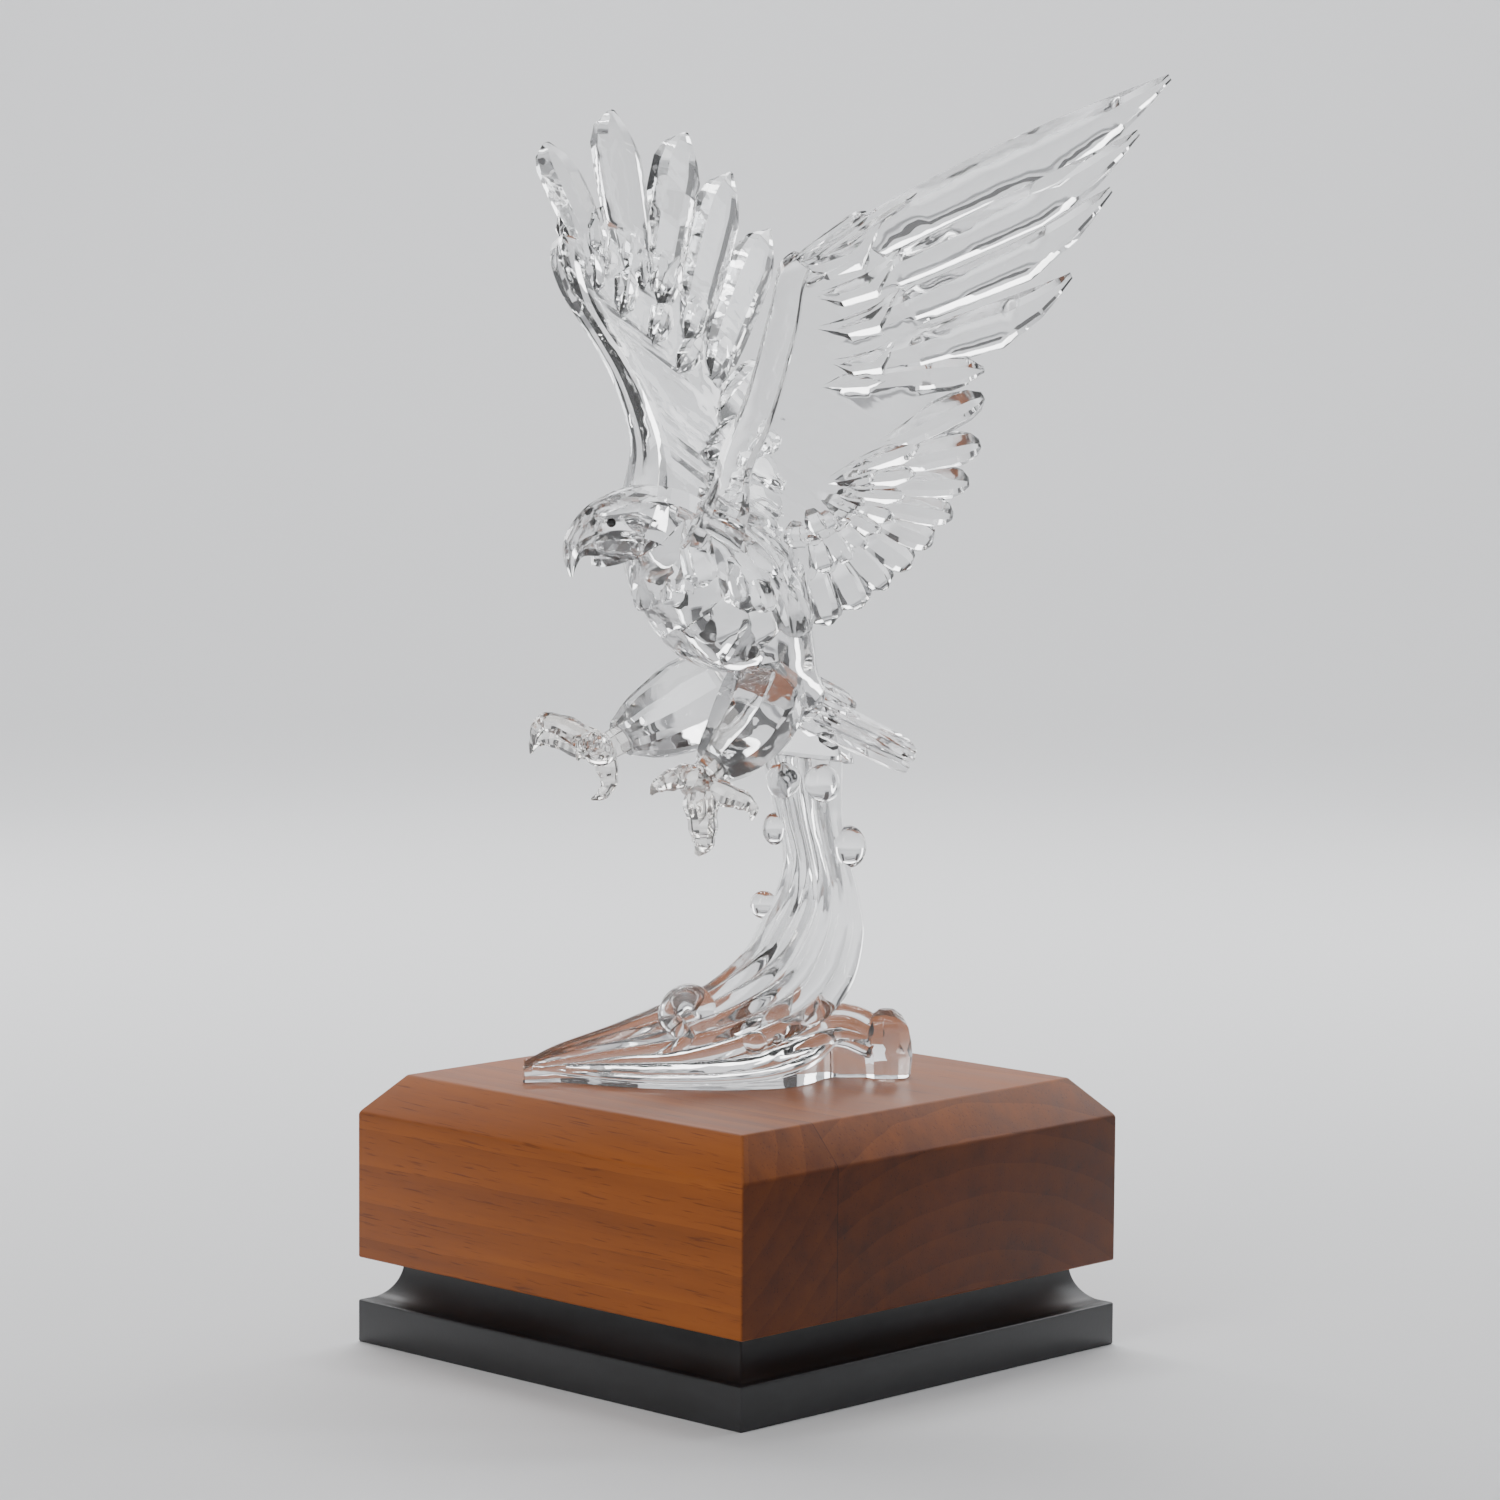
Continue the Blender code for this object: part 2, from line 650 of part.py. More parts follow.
# The wave. Stations are (r, d, z): r along the wave, d towards the viewer, z above the block
CREST_LEFT = (
    (-50.0, 9.5, 3.6), (-43.0, 5.0, 6.6), (-30.0, 1.0, 10.4), (-18.0, -2.0, 15.0), (-7.5, -6.0, 19.0),
    (1.5, -12.0, 26.5), (5.5, -15.0, 34.0), (9.3, -16.0, 41.5), (10.6, -16.0, 48.0), (9.8, -16.0, 55.0),
    (8.0, -16.0, 63.0),
)
CREST_RIGHT = (
    (-50.0, 13.0, 2.0), (-43.0, 12.5, 2.4), (-28.0, 14.0, 4.0), (-12.0, 15.0, 5.0), (6.0, 12.0, 9.0),
    (20.0, 4.0, 14.0), (27.0, -5.0, 21.0), (29.8, -11.0, 31.0), (29.0, -14.0, 40.0), (26.5, -16.0, 50.0),
    (24.8, -16.0, 60.0),
)
CREST_THICKNESS = (3.0, 3.6, 4.6, 5.2, 5.6, 5.8, 6.0, 6.4, 7.2, 8.4, 9.2)
CREST_RIBS = 5
RIB_DEPTH = 1.3
COLUMN_LEFT = 5.0
COLUMN_RIGHT = 24.6
COLUMN_DEPTH = -16.0
COLUMN_THICKNESS = 9.6
SEAT_HEIGHT = 74.2
SEAT_SLOPE = -0.12
# (r, back d, front d, back z, front z) of the mass that lies on the block
SWELL = (
    (-50.4, 7.2, 12.8, 5.4, 4.2),
    (-42.0, 4.0, 12.0, 7.0, 3.4),
    (-28.0, -1.0, 18.0, 10.2, 2.8),
    (-16.0, -5.0, 21.0, 12.6, 2.8),
    (-4.0, -8.0, 22.0, 13.6, 3.2),
    (6.0, -9.0, 20.6, 14.2, 4.0),
    (13.0, -8.5, 17.0, 14.0, 5.4),
    (18.0, -8.0, 10.0, 13.0, 7.0),
    (21.5, -7.0, 3.0, 12.0, 9.0),
)
SWELL_RIDGES = 4
RIDGE_DEPTH = 1.2
SPUR = (
    ((6.0, -7.0, 9.0), 5.0), ((16.0, -3.0, 12.5), 4.6), ((24.0, -2.0, 13.6), 4.0), ((31.0, -1.0, 11.5), 4.2),
    ((34.6, 0.0, 8.0), 4.8),
)
SPUR_KNOB = (
    ((35.0, 0.0, -2.0), 5.8), ((35.0, 0.0, 4.0), 6.2), ((35.0, 0.0, 9.5), 6.0), ((35.0, 0.0, 13.8), 4.6),
    ((35.0, 0.0, 16.0), 2.2),
)
# (r, d, z, radius) of the drops of spray
SPRAY = (
    (5.6, -14.6, 37.5, 3.4), (27.2, -15.0, 51.1, 4.2), (8.0, -13.0, 56.4, 3.2), (-11.0, 0.0, 16.6, 4.4),
    (-13.5, 5.0, 12.2, 3.0), (4.6, 12.0, 9.6, 2.8), (9.6, -11.6, 66.6, 4.6), (17.8, -11.2, 66.0, 4.8),
)
UNDER_CUT = 6.0


def corrugated(left, right, normal, thickness, ribs, depth):
    """A ribbed plate's section: points over its front from left to right and back again."""
    steps = ribs * 2
    front = []
    back = []
    for i in range(steps + 1):
        share = i / steps
        crown = depth if i % 2 == 1 else 0.0
        taper = math.sin(math.pi * (0.12 + 0.76 * share))
        half = thickness / 2.0 * (0.45 + 0.55 * taper)
        place = mix(left, right, share)
        front.append(place + normal * (half + crown - depth / 2.0))
        back.append(place - normal * (half + crown * 0.6 - depth / 2.0))
    return front + back[::-1]


def crest_rings():
    rings = []
    lefts = [Vector(point) for point in CREST_LEFT]
    rights = [Vector(point) for point in CREST_RIGHT]
    last = len(lefts) - 1
    for i, (left, right) in enumerate(zip(lefts, rights)):
        ahead = (lefts[min(i + 1, last)] + rights[min(i + 1, last)]) / 2.0
        behind = (lefts[max(i - 1, 0)] + rights[max(i - 1, 0)]) / 2.0
        normal = (ahead - behind).cross(right - left).normalized()
        if normal.y < 0.0:
            normal = -normal
        rings.append(corrugated(left, right, normal, CREST_THICKNESS[i], CREST_RIBS, RIB_DEPTH))
    return rings


def column_ring(z):
    """The crest's section where it meets the bird, on a plane that falls slightly to the right."""
    middle = (COLUMN_LEFT + COLUMN_RIGHT) / 2.0
    left = Vector((COLUMN_LEFT, COLUMN_DEPTH, z))
    right = Vector((COLUMN_RIGHT, COLUMN_DEPTH, z))
    ring = corrugated(left, right, Vector((0.0, 1.0, 0.0)), COLUMN_THICKNESS, CREST_RIBS, RIB_DEPTH)
    return [Vector((point.x, point.y, point.z + (point.x - middle) * SEAT_SLOPE)) for point in ring]


def wave_place(point):
    return on_wave((point.x, -point.y, point.z))


def swell_rings():
    rings = []
    for r, back, front, back_z, front_z in SWELL:
        ring = [Vector((r, back, -UNDER_CUT)), Vector((r, back, back_z * 0.7))]
        steps = SWELL_RIDGES * 2
        for i in range(steps + 1):
            share = (i + 0.6) / (steps + 1.2)
            crown = RIDGE_DEPTH if i % 2 == 0 else -RIDGE_DEPTH * 0.4
            z = mix(back_z, front_z, share) + crown * min(1.0, back_z / 9.0)
            ring.append(Vector((r, mix(back, front, share), z)))
        ring.append(Vector((r, front, front_z * 0.6)))
        ring.append(Vector((r, front, -UNDER_CUT)))
        rings.append([wave_place(point) for point in ring])
    return rings


def make_wave(collection, helpers, acrylic):
    form = bmesh.new()
    rings = crest_rings() + [column_ring(SEAT_HEIGHT)]
    loft(form, [[wave_place(point) for point in ring] for ring in rings])
    wave = add_object("wave_stand", form, acrylic, collection)
    form = bmesh.new()
    loft(form, swell_rings())
    for line in (SPUR, SPUR_KNOB):
        limb(form, wave_place, [point for point, _ in line], [size for _, size in line], 8)
    for r, d, z, radius in SPRAY:
        ball(form, wave_place(Vector((r, d, z))), radius)
    masses = as_helper(add_object("wave_masses", form, acrylic, helpers))
    union = add_boolean(wave, "join the swell, spur and spray", "UNION", masses)
    union.use_self = True
    form = bmesh.new()
    size = BLOCK_SIDE * 2.0
    bmesh.ops.create_cube(form, size=size, matrix=Matrix.Translation((0.0, 0.0, FIGURE_FLOOR - size / 2.0)))
    ground = as_helper(add_object("block_top_cutter", form, acrylic, helpers))
    add_boolean(wave, "cut flat over the block", "DIFFERENCE", ground)
    return wave


def make_eagle(collection, helpers, acrylic):
    form = bmesh.new()
    loft(form, body_rings(BODY))
    eagle = add_object("eagle", form, acrylic, collection)

    form = bmesh.new()
    add_head(form)
    add_tail(form)
    for thigh in (RIGHT_THIGH, LEFT_THIGH):
        limb(form, on_bird, [point for point, _ in thigh], [size for _, size in thigh], THIGH_SIDES)
    for side in (1.0, -1.0):
        pad = [(x * side, y, z) for (x, y, z), _ in SHOULDER_PAD]
        limb(form, on_bird, pad, [size for _, size in SHOULDER_PAD], THIGH_SIDES)
        turned_blades(form, mirrored(SCAPULARS, side), 9.0, 4.4, ROUNDED)
        turned_blades(form, mirrored(RUFF[:3], side), 7.6, 4.0, ROUNDED)
    turned_blades(form, RUFF[3:], 7.6, 4.0, ROUNDED)
    turned_blades(form, NAPE, 8.4, 4.0, ROUNDED)
    gap = JOINT_GAP / SCALE
    rise = (0.0, 5.0, 14.0)
    shrink = (1.0, 0.92, 0.6)
    rings = []
    for up, share in zip(rise, shrink):
        ring = column_ring(SEAT_HEIGHT + gap + up)
        middle = sum(ring, Vector((0.0, 0.0, 0.0))) / len(ring)
        rings.append([wave_place(mix(middle, point, share)) for point in ring])
    loft(form, rings)
    left = Wing(1.0, LEFT_SHOULDER)
    right = Wing(-1.0, RIGHT_SHOULDER)
    add_wing(form, left, LEFT_PRIMARIES, LEFT_FAN_PIVOT, LEFT_FAN, 10, LEFT_WEB, LEFT_ARM, LEFT_ALULA)
    extra = [(root, tip, 10.4, 4.6) for root, tip in RIGHT_COVERTS[:5]]
    extra += [(root, tip, 10.0, 5.6) for root, tip in RIGHT_COVERTS[5:]]
    add_wing(form, right, RIGHT_PRIMARIES, RIGHT_FAN_PIVOT, RIGHT_FAN, 9, RIGHT_WEB, RIGHT_ARM, extra)
    features = as_helper(add_object("eagle_features", form, acrylic, helpers))
    union = add_boolean(eagle, "join head, wings, thighs and tail", "UNION", features)
    union.use_self = True

    form = bmesh.new()
    for side in (1.0, -1.0):
        ball(form, eye_place(side), EYE_RADIUS + JOINT_GAP / SCALE)
    sockets = as_helper(add_object("eye_sockets", form, acrylic, helpers))
    add_boolean(eagle, "eye sockets", "DIFFERENCE", sockets)
    return eagle


def make_eyes(collection):
    black = new_material("black bead", (0.004, 0.004, 0.004), 0.12)
    for name, side in (("left_eye", 1.0), ("right_eye", -1.0)):
        form = bmesh.new()
        ball(form, eye_place(side), EYE_RADIUS)
        add_object(name, form, black, collection)


# Feet. The shank follows from the thigh above it, and each toe is a path with radii, stepped from the ankle
SHANK_LENGTH = 5.6
SHANK_RADIUS = 3.8
RIGHT_TOES = (
    (((0.0, 0.9, -0.3), 3.4), ((0.0, -4.0, 2.3), 3.5), ((0.0, -9.5, 5.7), 2.9),
     ((0.0, -14.7, 7.3), 2.3), ((0.0, -17.5, 5.3), 1.5), ((0.0, -17.9, 2.0), 0.4)),
    (((0.0, 0.9, -0.3), 3.1), ((-5.0, -4.0, 1.1), 2.8), ((-9.5, -8.0, 2.7), 2.3),
     ((-12.0, -11.0, 1.7), 1.6), ((-12.6, -12.1, -1.3), 0.4)),
    (((0.0, 0.9, -0.3), 3.1), ((4.5, -3.0, 1.3), 2.8), ((8.0, -7.5, 3.1), 2.3),
     ((9.6, -10.7, 2.1), 1.6), ((9.8, -11.9, -0.9), 0.4)),
    (((0.0, 0.5, 0.3), 3.0), ((0.0, 1.5, -4.3), 2.6), ((0.0, 1.9, -7.7), 2.0),
     ((0.0, 0.1, -10.3), 1.3), ((0.0, -2.7, -11.3), 0.4)),
)
LEFT_TOES = (
    (((0.2, 0.9, 0.7), 3.2), ((0.8, -3.7, 1.5), 3.0), ((1.2, -7.9, 0.9), 2.4),
     ((1.2, -11.3, -0.3), 1.6), ((1.2, -12.9, -2.1), 0.5)),
    (((0.2, 0.9, -0.1), 3.4), ((1.4, 0.3, -5.1), 4.2), ((1.8, 0.7, -10.7), 3.2),
     ((1.6, 0.7, -14.3), 2.4), ((1.2, -0.7, -16.7), 0.8)),
    (((0.6, 1.3, -0.3), 3.0), ((4.0, 5.3, -2.7), 2.8), ((5.6, 9.3, -4.3), 2.2),
     ((6.2, 11.3, -6.3), 1.4), ((5.8, 11.1, -8.7), 0.4)),
    (((-0.2, 1.1, -0.5), 3.0), ((-4.2, 2.3, -3.3), 2.6), ((-6.4, 3.7, -5.9), 2.0),
     ((-6.8, 4.1, -8.9), 1.3), ((-6.2, 3.1, -11.3), 0.4)),
)


def shank_path(thigh):
    """The shank carries on along the thigh's last stretch, a gap beyond its collar."""
    knee = Vector(thigh[-2][0])
    collar = Vector(thigh[-1][0])
    axis = (collar - knee).normalized()
    start = JOINT_GAP / SCALE
    return [collar + axis * (start + SHANK_LENGTH * share) for share in (0.0, 0.6, 1.0)]


def make_foot(name, thigh, toes, collection, helpers, material):
    form = bmesh.new()
    limb(form, on_bird, shank_path(thigh), [SHANK_RADIUS, SHANK_RADIUS, SHANK_RADIUS * 0.85], SHANK_SIDES)
    foot = add_object(name, form, material, collection)
    form = bmesh.new()
    ankle = shank_path(thigh)[-1]
    for toe in toes:
        limb(form, on_bird, [ankle + Vector(step) for step, _ in toe], [size for _, size in toe])
    claws = as_helper(add_object(name + "_toes", form, material, helpers))
    union = add_boolean(foot, "join the toes", "UNION", claws)
    union.use_self = True
    return foot


def main():
    clear_scene()
    award = new_collection("acrylic_eagle_award")
    helpers = new_collection("cutters")
    acrylic = new_material("clear acrylic", (1.0, 1.0, 1.0), 0.02, 1.0)
    milky = new_material("warm clear acrylic", (0.99, 0.97, 0.94), 0.06, 1.0)
    make_plinth(award)
    make_wave(award, helpers, acrylic)
    make_eagle(award, helpers, acrylic)
    make_eyes(award)
    make_foot("right_foot", RIGHT_THIGH, RIGHT_TOES, award, helpers, milky)
    make_foot("left_foot", LEFT_THIGH, LEFT_TOES, award, helpers, milky)


main()
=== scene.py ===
"""Clear acrylic eagle landing above a breaking wave, on a walnut block over a black moulded base."""

from math import copysign, cos, pi, radians, sin

import bmesh
import bpy
from mathutils import Matrix, Vector, noise


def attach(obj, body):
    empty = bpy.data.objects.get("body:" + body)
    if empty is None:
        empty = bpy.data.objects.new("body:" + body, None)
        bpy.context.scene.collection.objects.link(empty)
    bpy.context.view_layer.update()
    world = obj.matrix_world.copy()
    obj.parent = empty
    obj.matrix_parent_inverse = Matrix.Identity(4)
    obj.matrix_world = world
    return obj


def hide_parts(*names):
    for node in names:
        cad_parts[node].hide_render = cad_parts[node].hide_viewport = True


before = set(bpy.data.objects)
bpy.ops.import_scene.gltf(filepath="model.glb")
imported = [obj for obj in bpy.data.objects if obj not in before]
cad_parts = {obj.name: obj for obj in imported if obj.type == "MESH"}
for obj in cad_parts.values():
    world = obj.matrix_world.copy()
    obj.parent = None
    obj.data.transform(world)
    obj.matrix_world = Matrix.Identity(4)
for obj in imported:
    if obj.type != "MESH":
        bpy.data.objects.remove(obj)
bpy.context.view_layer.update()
MM = 0.001


# The photographer's place
# The camera stands a little above the plinth's top and looks at its front corner, through a long lens.

VIEW_AZIMUTH = radians(44.1346)
VIEW_ELEVATION = radians(5.668)
VIEW_ROLL = radians(0.4036)
VIEW_DISTANCE = 1124.2834 * MM
VIEW_SHIFT = 2.3062 * MM
VIEW_HEIGHT = 141.6474 * MM
LENS_PIXELS = 4786.7542
PICTURE_PIXELS = 1500.0
SENSOR_WIDTH = 36.0


def linked(name, data):
    """A new object in the scene, at the origin."""
    obj = bpy.data.objects.new(name, data)
    bpy.context.scene.collection.objects.link(obj)
    return obj


camera_data = bpy.data.cameras.new("camera")
camera_data.sensor_width = SENSOR_WIDTH
camera_data.lens = SENSOR_WIDTH * LENS_PIXELS / PICTURE_PIXELS
camera_data.clip_start = 0.05
camera_data.clip_end = 50.0
camera = linked("camera", camera_data)
ahead = Vector((
    -sin(VIEW_AZIMUTH) * cos(VIEW_ELEVATION),
    cos(VIEW_AZIMUTH) * cos(VIEW_ELEVATION),
    -sin(VIEW_ELEVATION),
))
level = Vector((cos(VIEW_AZIMUTH), sin(VIEW_AZIMUTH), 0.0))
upright = level.cross(ahead)
to_right = level * cos(VIEW_ROLL) + upright * sin(VIEW_ROLL)
to_top = upright * cos(VIEW_ROLL) - level * sin(VIEW_ROLL)
stand = level * VIEW_SHIFT + Vector((0.0, 0.0, VIEW_HEIGHT)) - ahead * VIEW_DISTANCE
camera.matrix_world = Matrix((
    (to_right.x, to_top.x, -ahead.x, stand.x),
    (to_right.y, to_top.y, -ahead.y, stand.y),
    (to_right.z, to_top.z, -ahead.z, stand.z),
    (0.0, 0.0, 0.0, 1.0),
))
bpy.context.scene.camera = camera


# The studio
# A pale seamless paper sweep all round, so every side has the same plain ground and wall, under large
# soft lights. Strip lights and dark cards out of the frame draw the acrylic's bright and dark edges.

SWEEP_FLOOR = 1.55
SWEEP_CURVE = 0.75
SWEEP_HEIGHT = 1.9
SWEEP_SIDES = 96
CURVE_STEPS = 16
PAPER_COLOUR = (0.74, 0.745, 0.76)
CARD_COLOUR = (0.05, 0.05, 0.052)
CARD_DISTANCE = 2.05
PLAIN_WHITE = (1.0, 1.0, 1.0)
# (azimuth, width, height, bottom edge)
CARDS = {
    "card_left": (244.5, 0.34, 1.5, 0.3),
    "card_right": (204.5, 0.26, 1.5, 0.3),
    "card_high": (224.0, 1.0, 0.13, 0.66),
}
# (azimuth, elevation, distance, size, power, colour)
SOFT_LIGHTS = {
    "strip_left": (262.0, 14.0, 1.05, (0.16, 0.9), 2.6, PLAIN_WHITE),
    "strip_right": (186.0, 14.0, 1.05, (0.14, 0.9), 2.2, PLAIN_WHITE),
    "strip_over": (224.0, 30.0, 1.1, (0.8, 0.20), 2.6, PLAIN_WHITE),
    "key_left": (4.0, 38.0, 1.35, (0.5, 0.8), 7.0, (1.0, 0.97, 0.93)),
    "top_back": (236.0, 66.0, 1.4, (0.8, 0.5), 6.0, (0.97, 0.985, 1.0)),
    "window_right": (166.0, 30.0, 1.4, (0.45, 0.9), 3.6, (0.95, 0.975, 1.0)),
}
LIGHT_AIM = Vector((0.0, 0.0, 0.16))
# (azimuth, power) of the lamps over the part that light the sweep's wall
WALL_WASHES = ((224.0, 44.0), (44.0, 10.0), (134.0, 1.5), (314.0, 1.5))
WASH_SIZE = (1.1, 0.3)
WASH_REACH = 0.75
WASH_HEIGHT = 1.75
WASH_AIM_DROP = 0.9


def compass(azimuth):
    """The level direction from the part towards an azimuth in degrees."""
    turn = radians(azimuth)
    return Vector((sin(turn), -cos(turn), 0.0))


def circle(radius, z, sides, turn=0.0):
    """Points round the Z axis, turned by a share of a side."""
    angles = [2.0 * pi * (k + turn) / sides for k in range(sides)]
    return [(radius * cos(angle), radius * sin(angle), z) for angle in angles]


def quarter_arc(steps):
    """(out, up) along a quarter circle that starts level, after its first point."""
    angles = [radians(90.0) * i / steps for i in range(1, steps + 1)]
    return [(sin(angle), 1.0 - cos(angle)) for angle in angles]


def new_object(name, form, material):
    """An object at the origin from a bmesh, which is used up."""
    mesh = bpy.data.meshes.new(name)
    form.to_mesh(mesh)
    form.free()
    mesh.materials.append(material)
    return linked(name, mesh)


def matt_paint(name, colour):
    material = bpy.data.materials.new(name)
    material.use_nodes = True
    shader = material.node_tree.nodes["Principled BSDF"]
    shader.inputs["Base Color"].default_value = (*colour, 1.0)
    shader.inputs["Roughness"].default_value = 0.9
    return material


def make_sweep():
    profile = [(SWEEP_FLOOR, 0.0)]
    profile += [(SWEEP_FLOOR + SWEEP_CURVE * out, SWEEP_CURVE * up) for out, up in quarter_arc(CURVE_STEPS)]
    profile.append((SWEEP_FLOOR + SWEEP_CURVE, SWEEP_HEIGHT))
    form = bmesh.new()
    rows = [[form.verts.new(spot) for spot in circle(radius, z, SWEEP_SIDES)] for radius, z in profile]
    middle = form.verts.new((0.0, 0.0, 0.0))
    for k in range(SWEEP_SIDES):
        j = (k + 1) % SWEEP_SIDES
        form.faces.new((middle, rows[0][k], rows[0][j]))
        for lower, upper in zip(rows, rows[1:]):
            form.faces.new((lower[k], upper[k], upper[j], lower[j]))
    for face in form.faces:
        face.smooth = True
    new_object("paper_sweep", form, matt_paint("pale paper", PAPER_COLOUR))


def make_card(name, azimuth, width, height, bottom):
    """An upright dark card, out of the frame, that the clear edges pick up as dark lines."""
    outward = compass(azimuth)
    across = Vector((outward.y, -outward.x, 0.0)) * width / 2.0
    form = bmesh.new()
    corners = []
    for sign, z in ((-1.0, bottom), (1.0, bottom), (1.0, bottom + height), (-1.0, bottom + height)):
        corners.append(form.verts.new(outward * CARD_DISTANCE + across * sign + Vector((0.0, 0.0, z))))
    form.faces.new(corners)
    new_object(name, form, matt_paint(name, CARD_COLOUR))


def area_light(name, spot, gaze, size, power, colour):
    data = bpy.data.lights.new(name, "AREA")
    data.shape = "RECTANGLE"
    data.size = size[0]
    data.size_y = size[1]
    data.energy = power
    data.color = colour
    light = linked(name, data)
    light.location = spot
    light.rotation_euler = gaze.to_track_quat("-Z", "Y").to_euler()


make_sweep()
for name, card in CARDS.items():
    make_card(name, *card)
for name, (azimuth, elevation, distance, size, power, colour) in SOFT_LIGHTS.items():
    tilt = radians(elevation)
    reach = (compass(azimuth) * cos(tilt) + Vector((0.0, 0.0, sin(tilt)))) * distance
    area_light(name, reach + LIGHT_AIM, -reach, size, power, colour)
for azimuth, power in WALL_WASHES:
    outward = compass(azimuth)
    spot = outward * WASH_REACH + Vector((0.0, 0.0, WASH_HEIGHT))
    gaze = outward - Vector((0.0, 0.0, WASH_AIM_DROP))
    area_light("wall_wash_%03d" % azimuth, spot, gaze, WASH_SIZE, power, PLAIN_WHITE)
world = bpy.data.worlds.new("dark studio")
bpy.context.scene.world = world
world.use_nodes = True
background = world.node_tree.nodes["Background"]
background.inputs["Color"].default_value = (0.80, 0.85, 0.92, 1.0)
background.inputs["Strength"].default_value = 0.03


# Black base
# A square moulded base of hardwood in satin black lacquer, with a cove worked round its upper half.
# The walnut block stands on its neck, so the cove reads as a dark shadow line between them.

BASE_SIDE = 127.0 * MM
BASE_HEIGHT = 20.0 * MM
STEP_HEIGHT = 10.2 * MM
COVE_DEPTH = 7.6 * MM
COVE_STEPS = 24
SOFT_ARRIS = 0.55 * MM
ARRIS_SEGMENTS = 3
ARRIS_FROM = 24.0
MOULDING_SHADING = 35.0
LACQUER_TONES = ((0.35, (0.007, 0.007, 0.008)), (0.75, (0.016, 0.016, 0.018)))


def made_mesh(obj):
    """What an object's modifiers make, as a plain mesh."""
    depsgraph = bpy.context.evaluated_depsgraph_get()
    return bpy.data.meshes.new_from_object(obj.evaluated_get(depsgraph))


def finish_mesh(obj, name, smooth_angle):
    """Gives an object the mesh that its modifiers make, with soft shading up to an angle."""
    mesh = made_mesh(obj)
    mesh.name = name
    mesh.shade_smooth()
    mesh.set_sharp_from_angle(angle=radians(smooth_angle))
    old = obj.data
    obj.modifiers.clear()
    obj.data = mesh
    bpy.data.meshes.remove(old)
    return obj


def loft(form, rings):
    """A closed shell over rings that hold the same number of points."""
    rows = [[form.verts.new(point) for point in ring] for ring in rings]
    count = len(rows[0])
    for lower, upper in zip(rows, rows[1:]):
        for i in range(count):
            j = (i + 1) % count
            form.faces.new((lower[i], lower[j], upper[j], upper[i]))
    form.faces.new(rows[0][::-1])
    form.faces.new(rows[-1])


def square_moulding(name, profile, material):
    """A square block whose side follows a profile of (half width, height), with softened arrises."""
    form = bmesh.new()
    corners = ((1.0, 1.0), (-1.0, 1.0), (-1.0, -1.0), (1.0, -1.0))
    loft(form, [[(half * x, half * y, z) for x, y in corners] for half, z in profile])
    bmesh.ops.recalc_face_normals(form, faces=form.faces)
    obj = new_object(name, form, material)
    bevel = obj.modifiers.new("softened arrises", "BEVEL")
    bevel.width = SOFT_ARRIS
    bevel.segments = ARRIS_SEGMENTS
    bevel.limit_method = "ANGLE"
    bevel.angle_limit = radians(ARRIS_FROM)
    bevel.harden_normals = False
    return finish_mesh(obj, name, MOULDING_SHADING)


def fill(node, inputs):
    """Sets a node's inputs, each to a value or to another node's socket."""
    for key, value in inputs.items():
        if isinstance(value, bpy.types.NodeSocket):
            node.id_data.links.new(value, node.inputs[key])
        else:
            node.inputs[key].default_value = value
    return node


def node_maker(tree):
    """A call that makes a node from its kind, its inputs and its own settings."""

    def add(kind, inputs=None, **settings):
        node = tree.nodes.new(kind)
        for key, value in settings.items():
            setattr(node, key, value)
        return fill(node, inputs or {})

    return add


def new_material(name, inputs):
    """A material, its shader, its node maker, and the sockets that say where a point is."""
    material = bpy.data.materials.new(name)
    material.use_nodes = True
    shader = fill(material.node_tree.nodes["Principled BSDF"], inputs)
    add = node_maker(material.node_tree)
    return material, shader, add, add("ShaderNodeTexCoord").outputs


def scaled_place(add, place, scale):
    return add("ShaderNodeMapping", {"Vector": place, "Scale": scale}).outputs["Vector"]


def mottle(add, place, scale=1.0, detail=2.0, roughness=0.5):
    inputs = {"Vector": place, "Scale": scale, "Detail": detail, "Roughness": roughness}
    return add("ShaderNodeTexNoise", inputs).outputs["Fac"]


def between(add, value, low, high):
    return add("ShaderNodeMapRange", {"Value": value, "To Min": low, "To Max": high}).outputs["Result"]


def dented(add, height, strength, distance, **settings):
    inputs = {"Height": height, "Strength": strength, "Distance": distance}
    return add("ShaderNodeBump", inputs, **settings).outputs["Normal"]


def tone_ramp(add, factor, tones):
    """Colours between (position, colour) stops."""
    node = add("ShaderNodeValToRGB", {"Fac": factor})
    stops = node.color_ramp.elements
    stops[0].position = tones[0][0]
    stops[1].position = tones[-1][0]
    for position, colour in tones[1:-1]:
        stops.new(position)
    for stop, (position, colour) in zip(stops, tones):
        stop.color = (*colour, 1.0)
    return node.outputs["Color"]


def black_lacquer():
    material, shader, add, where = new_material("black lacquer", {
        "IOR": 1.5, "Coat Weight": 0.25, "Coat Roughness": 0.25,
    })
    cloud = mottle(add, scaled_place(add, where["Object"], (40.0, 40.0, 160.0)), detail=5.0)
    peel = mottle(add, where["Object"], 900.0, 3.0)
    fill(shader, {
        "Base Color": tone_ramp(add, cloud, LACQUER_TONES),
        "Roughness": between(add, cloud, 0.36, 0.52),
        "Normal": dented(add, peel, 0.08, 0.0002),
    })
    return material


half = BASE_SIDE / 2.0
base_profile = [(half, 0.0), (half, STEP_HEIGHT)]
for inward, up in quarter_arc(COVE_STEPS):
    base_profile.append((half - COVE_DEPTH * inward, STEP_HEIGHT + (BASE_HEIGHT - STEP_HEIGHT) * up))
base = square_moulding("base_moulding", base_profile, black_lacquer())
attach(base, "root")
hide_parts("black_base")


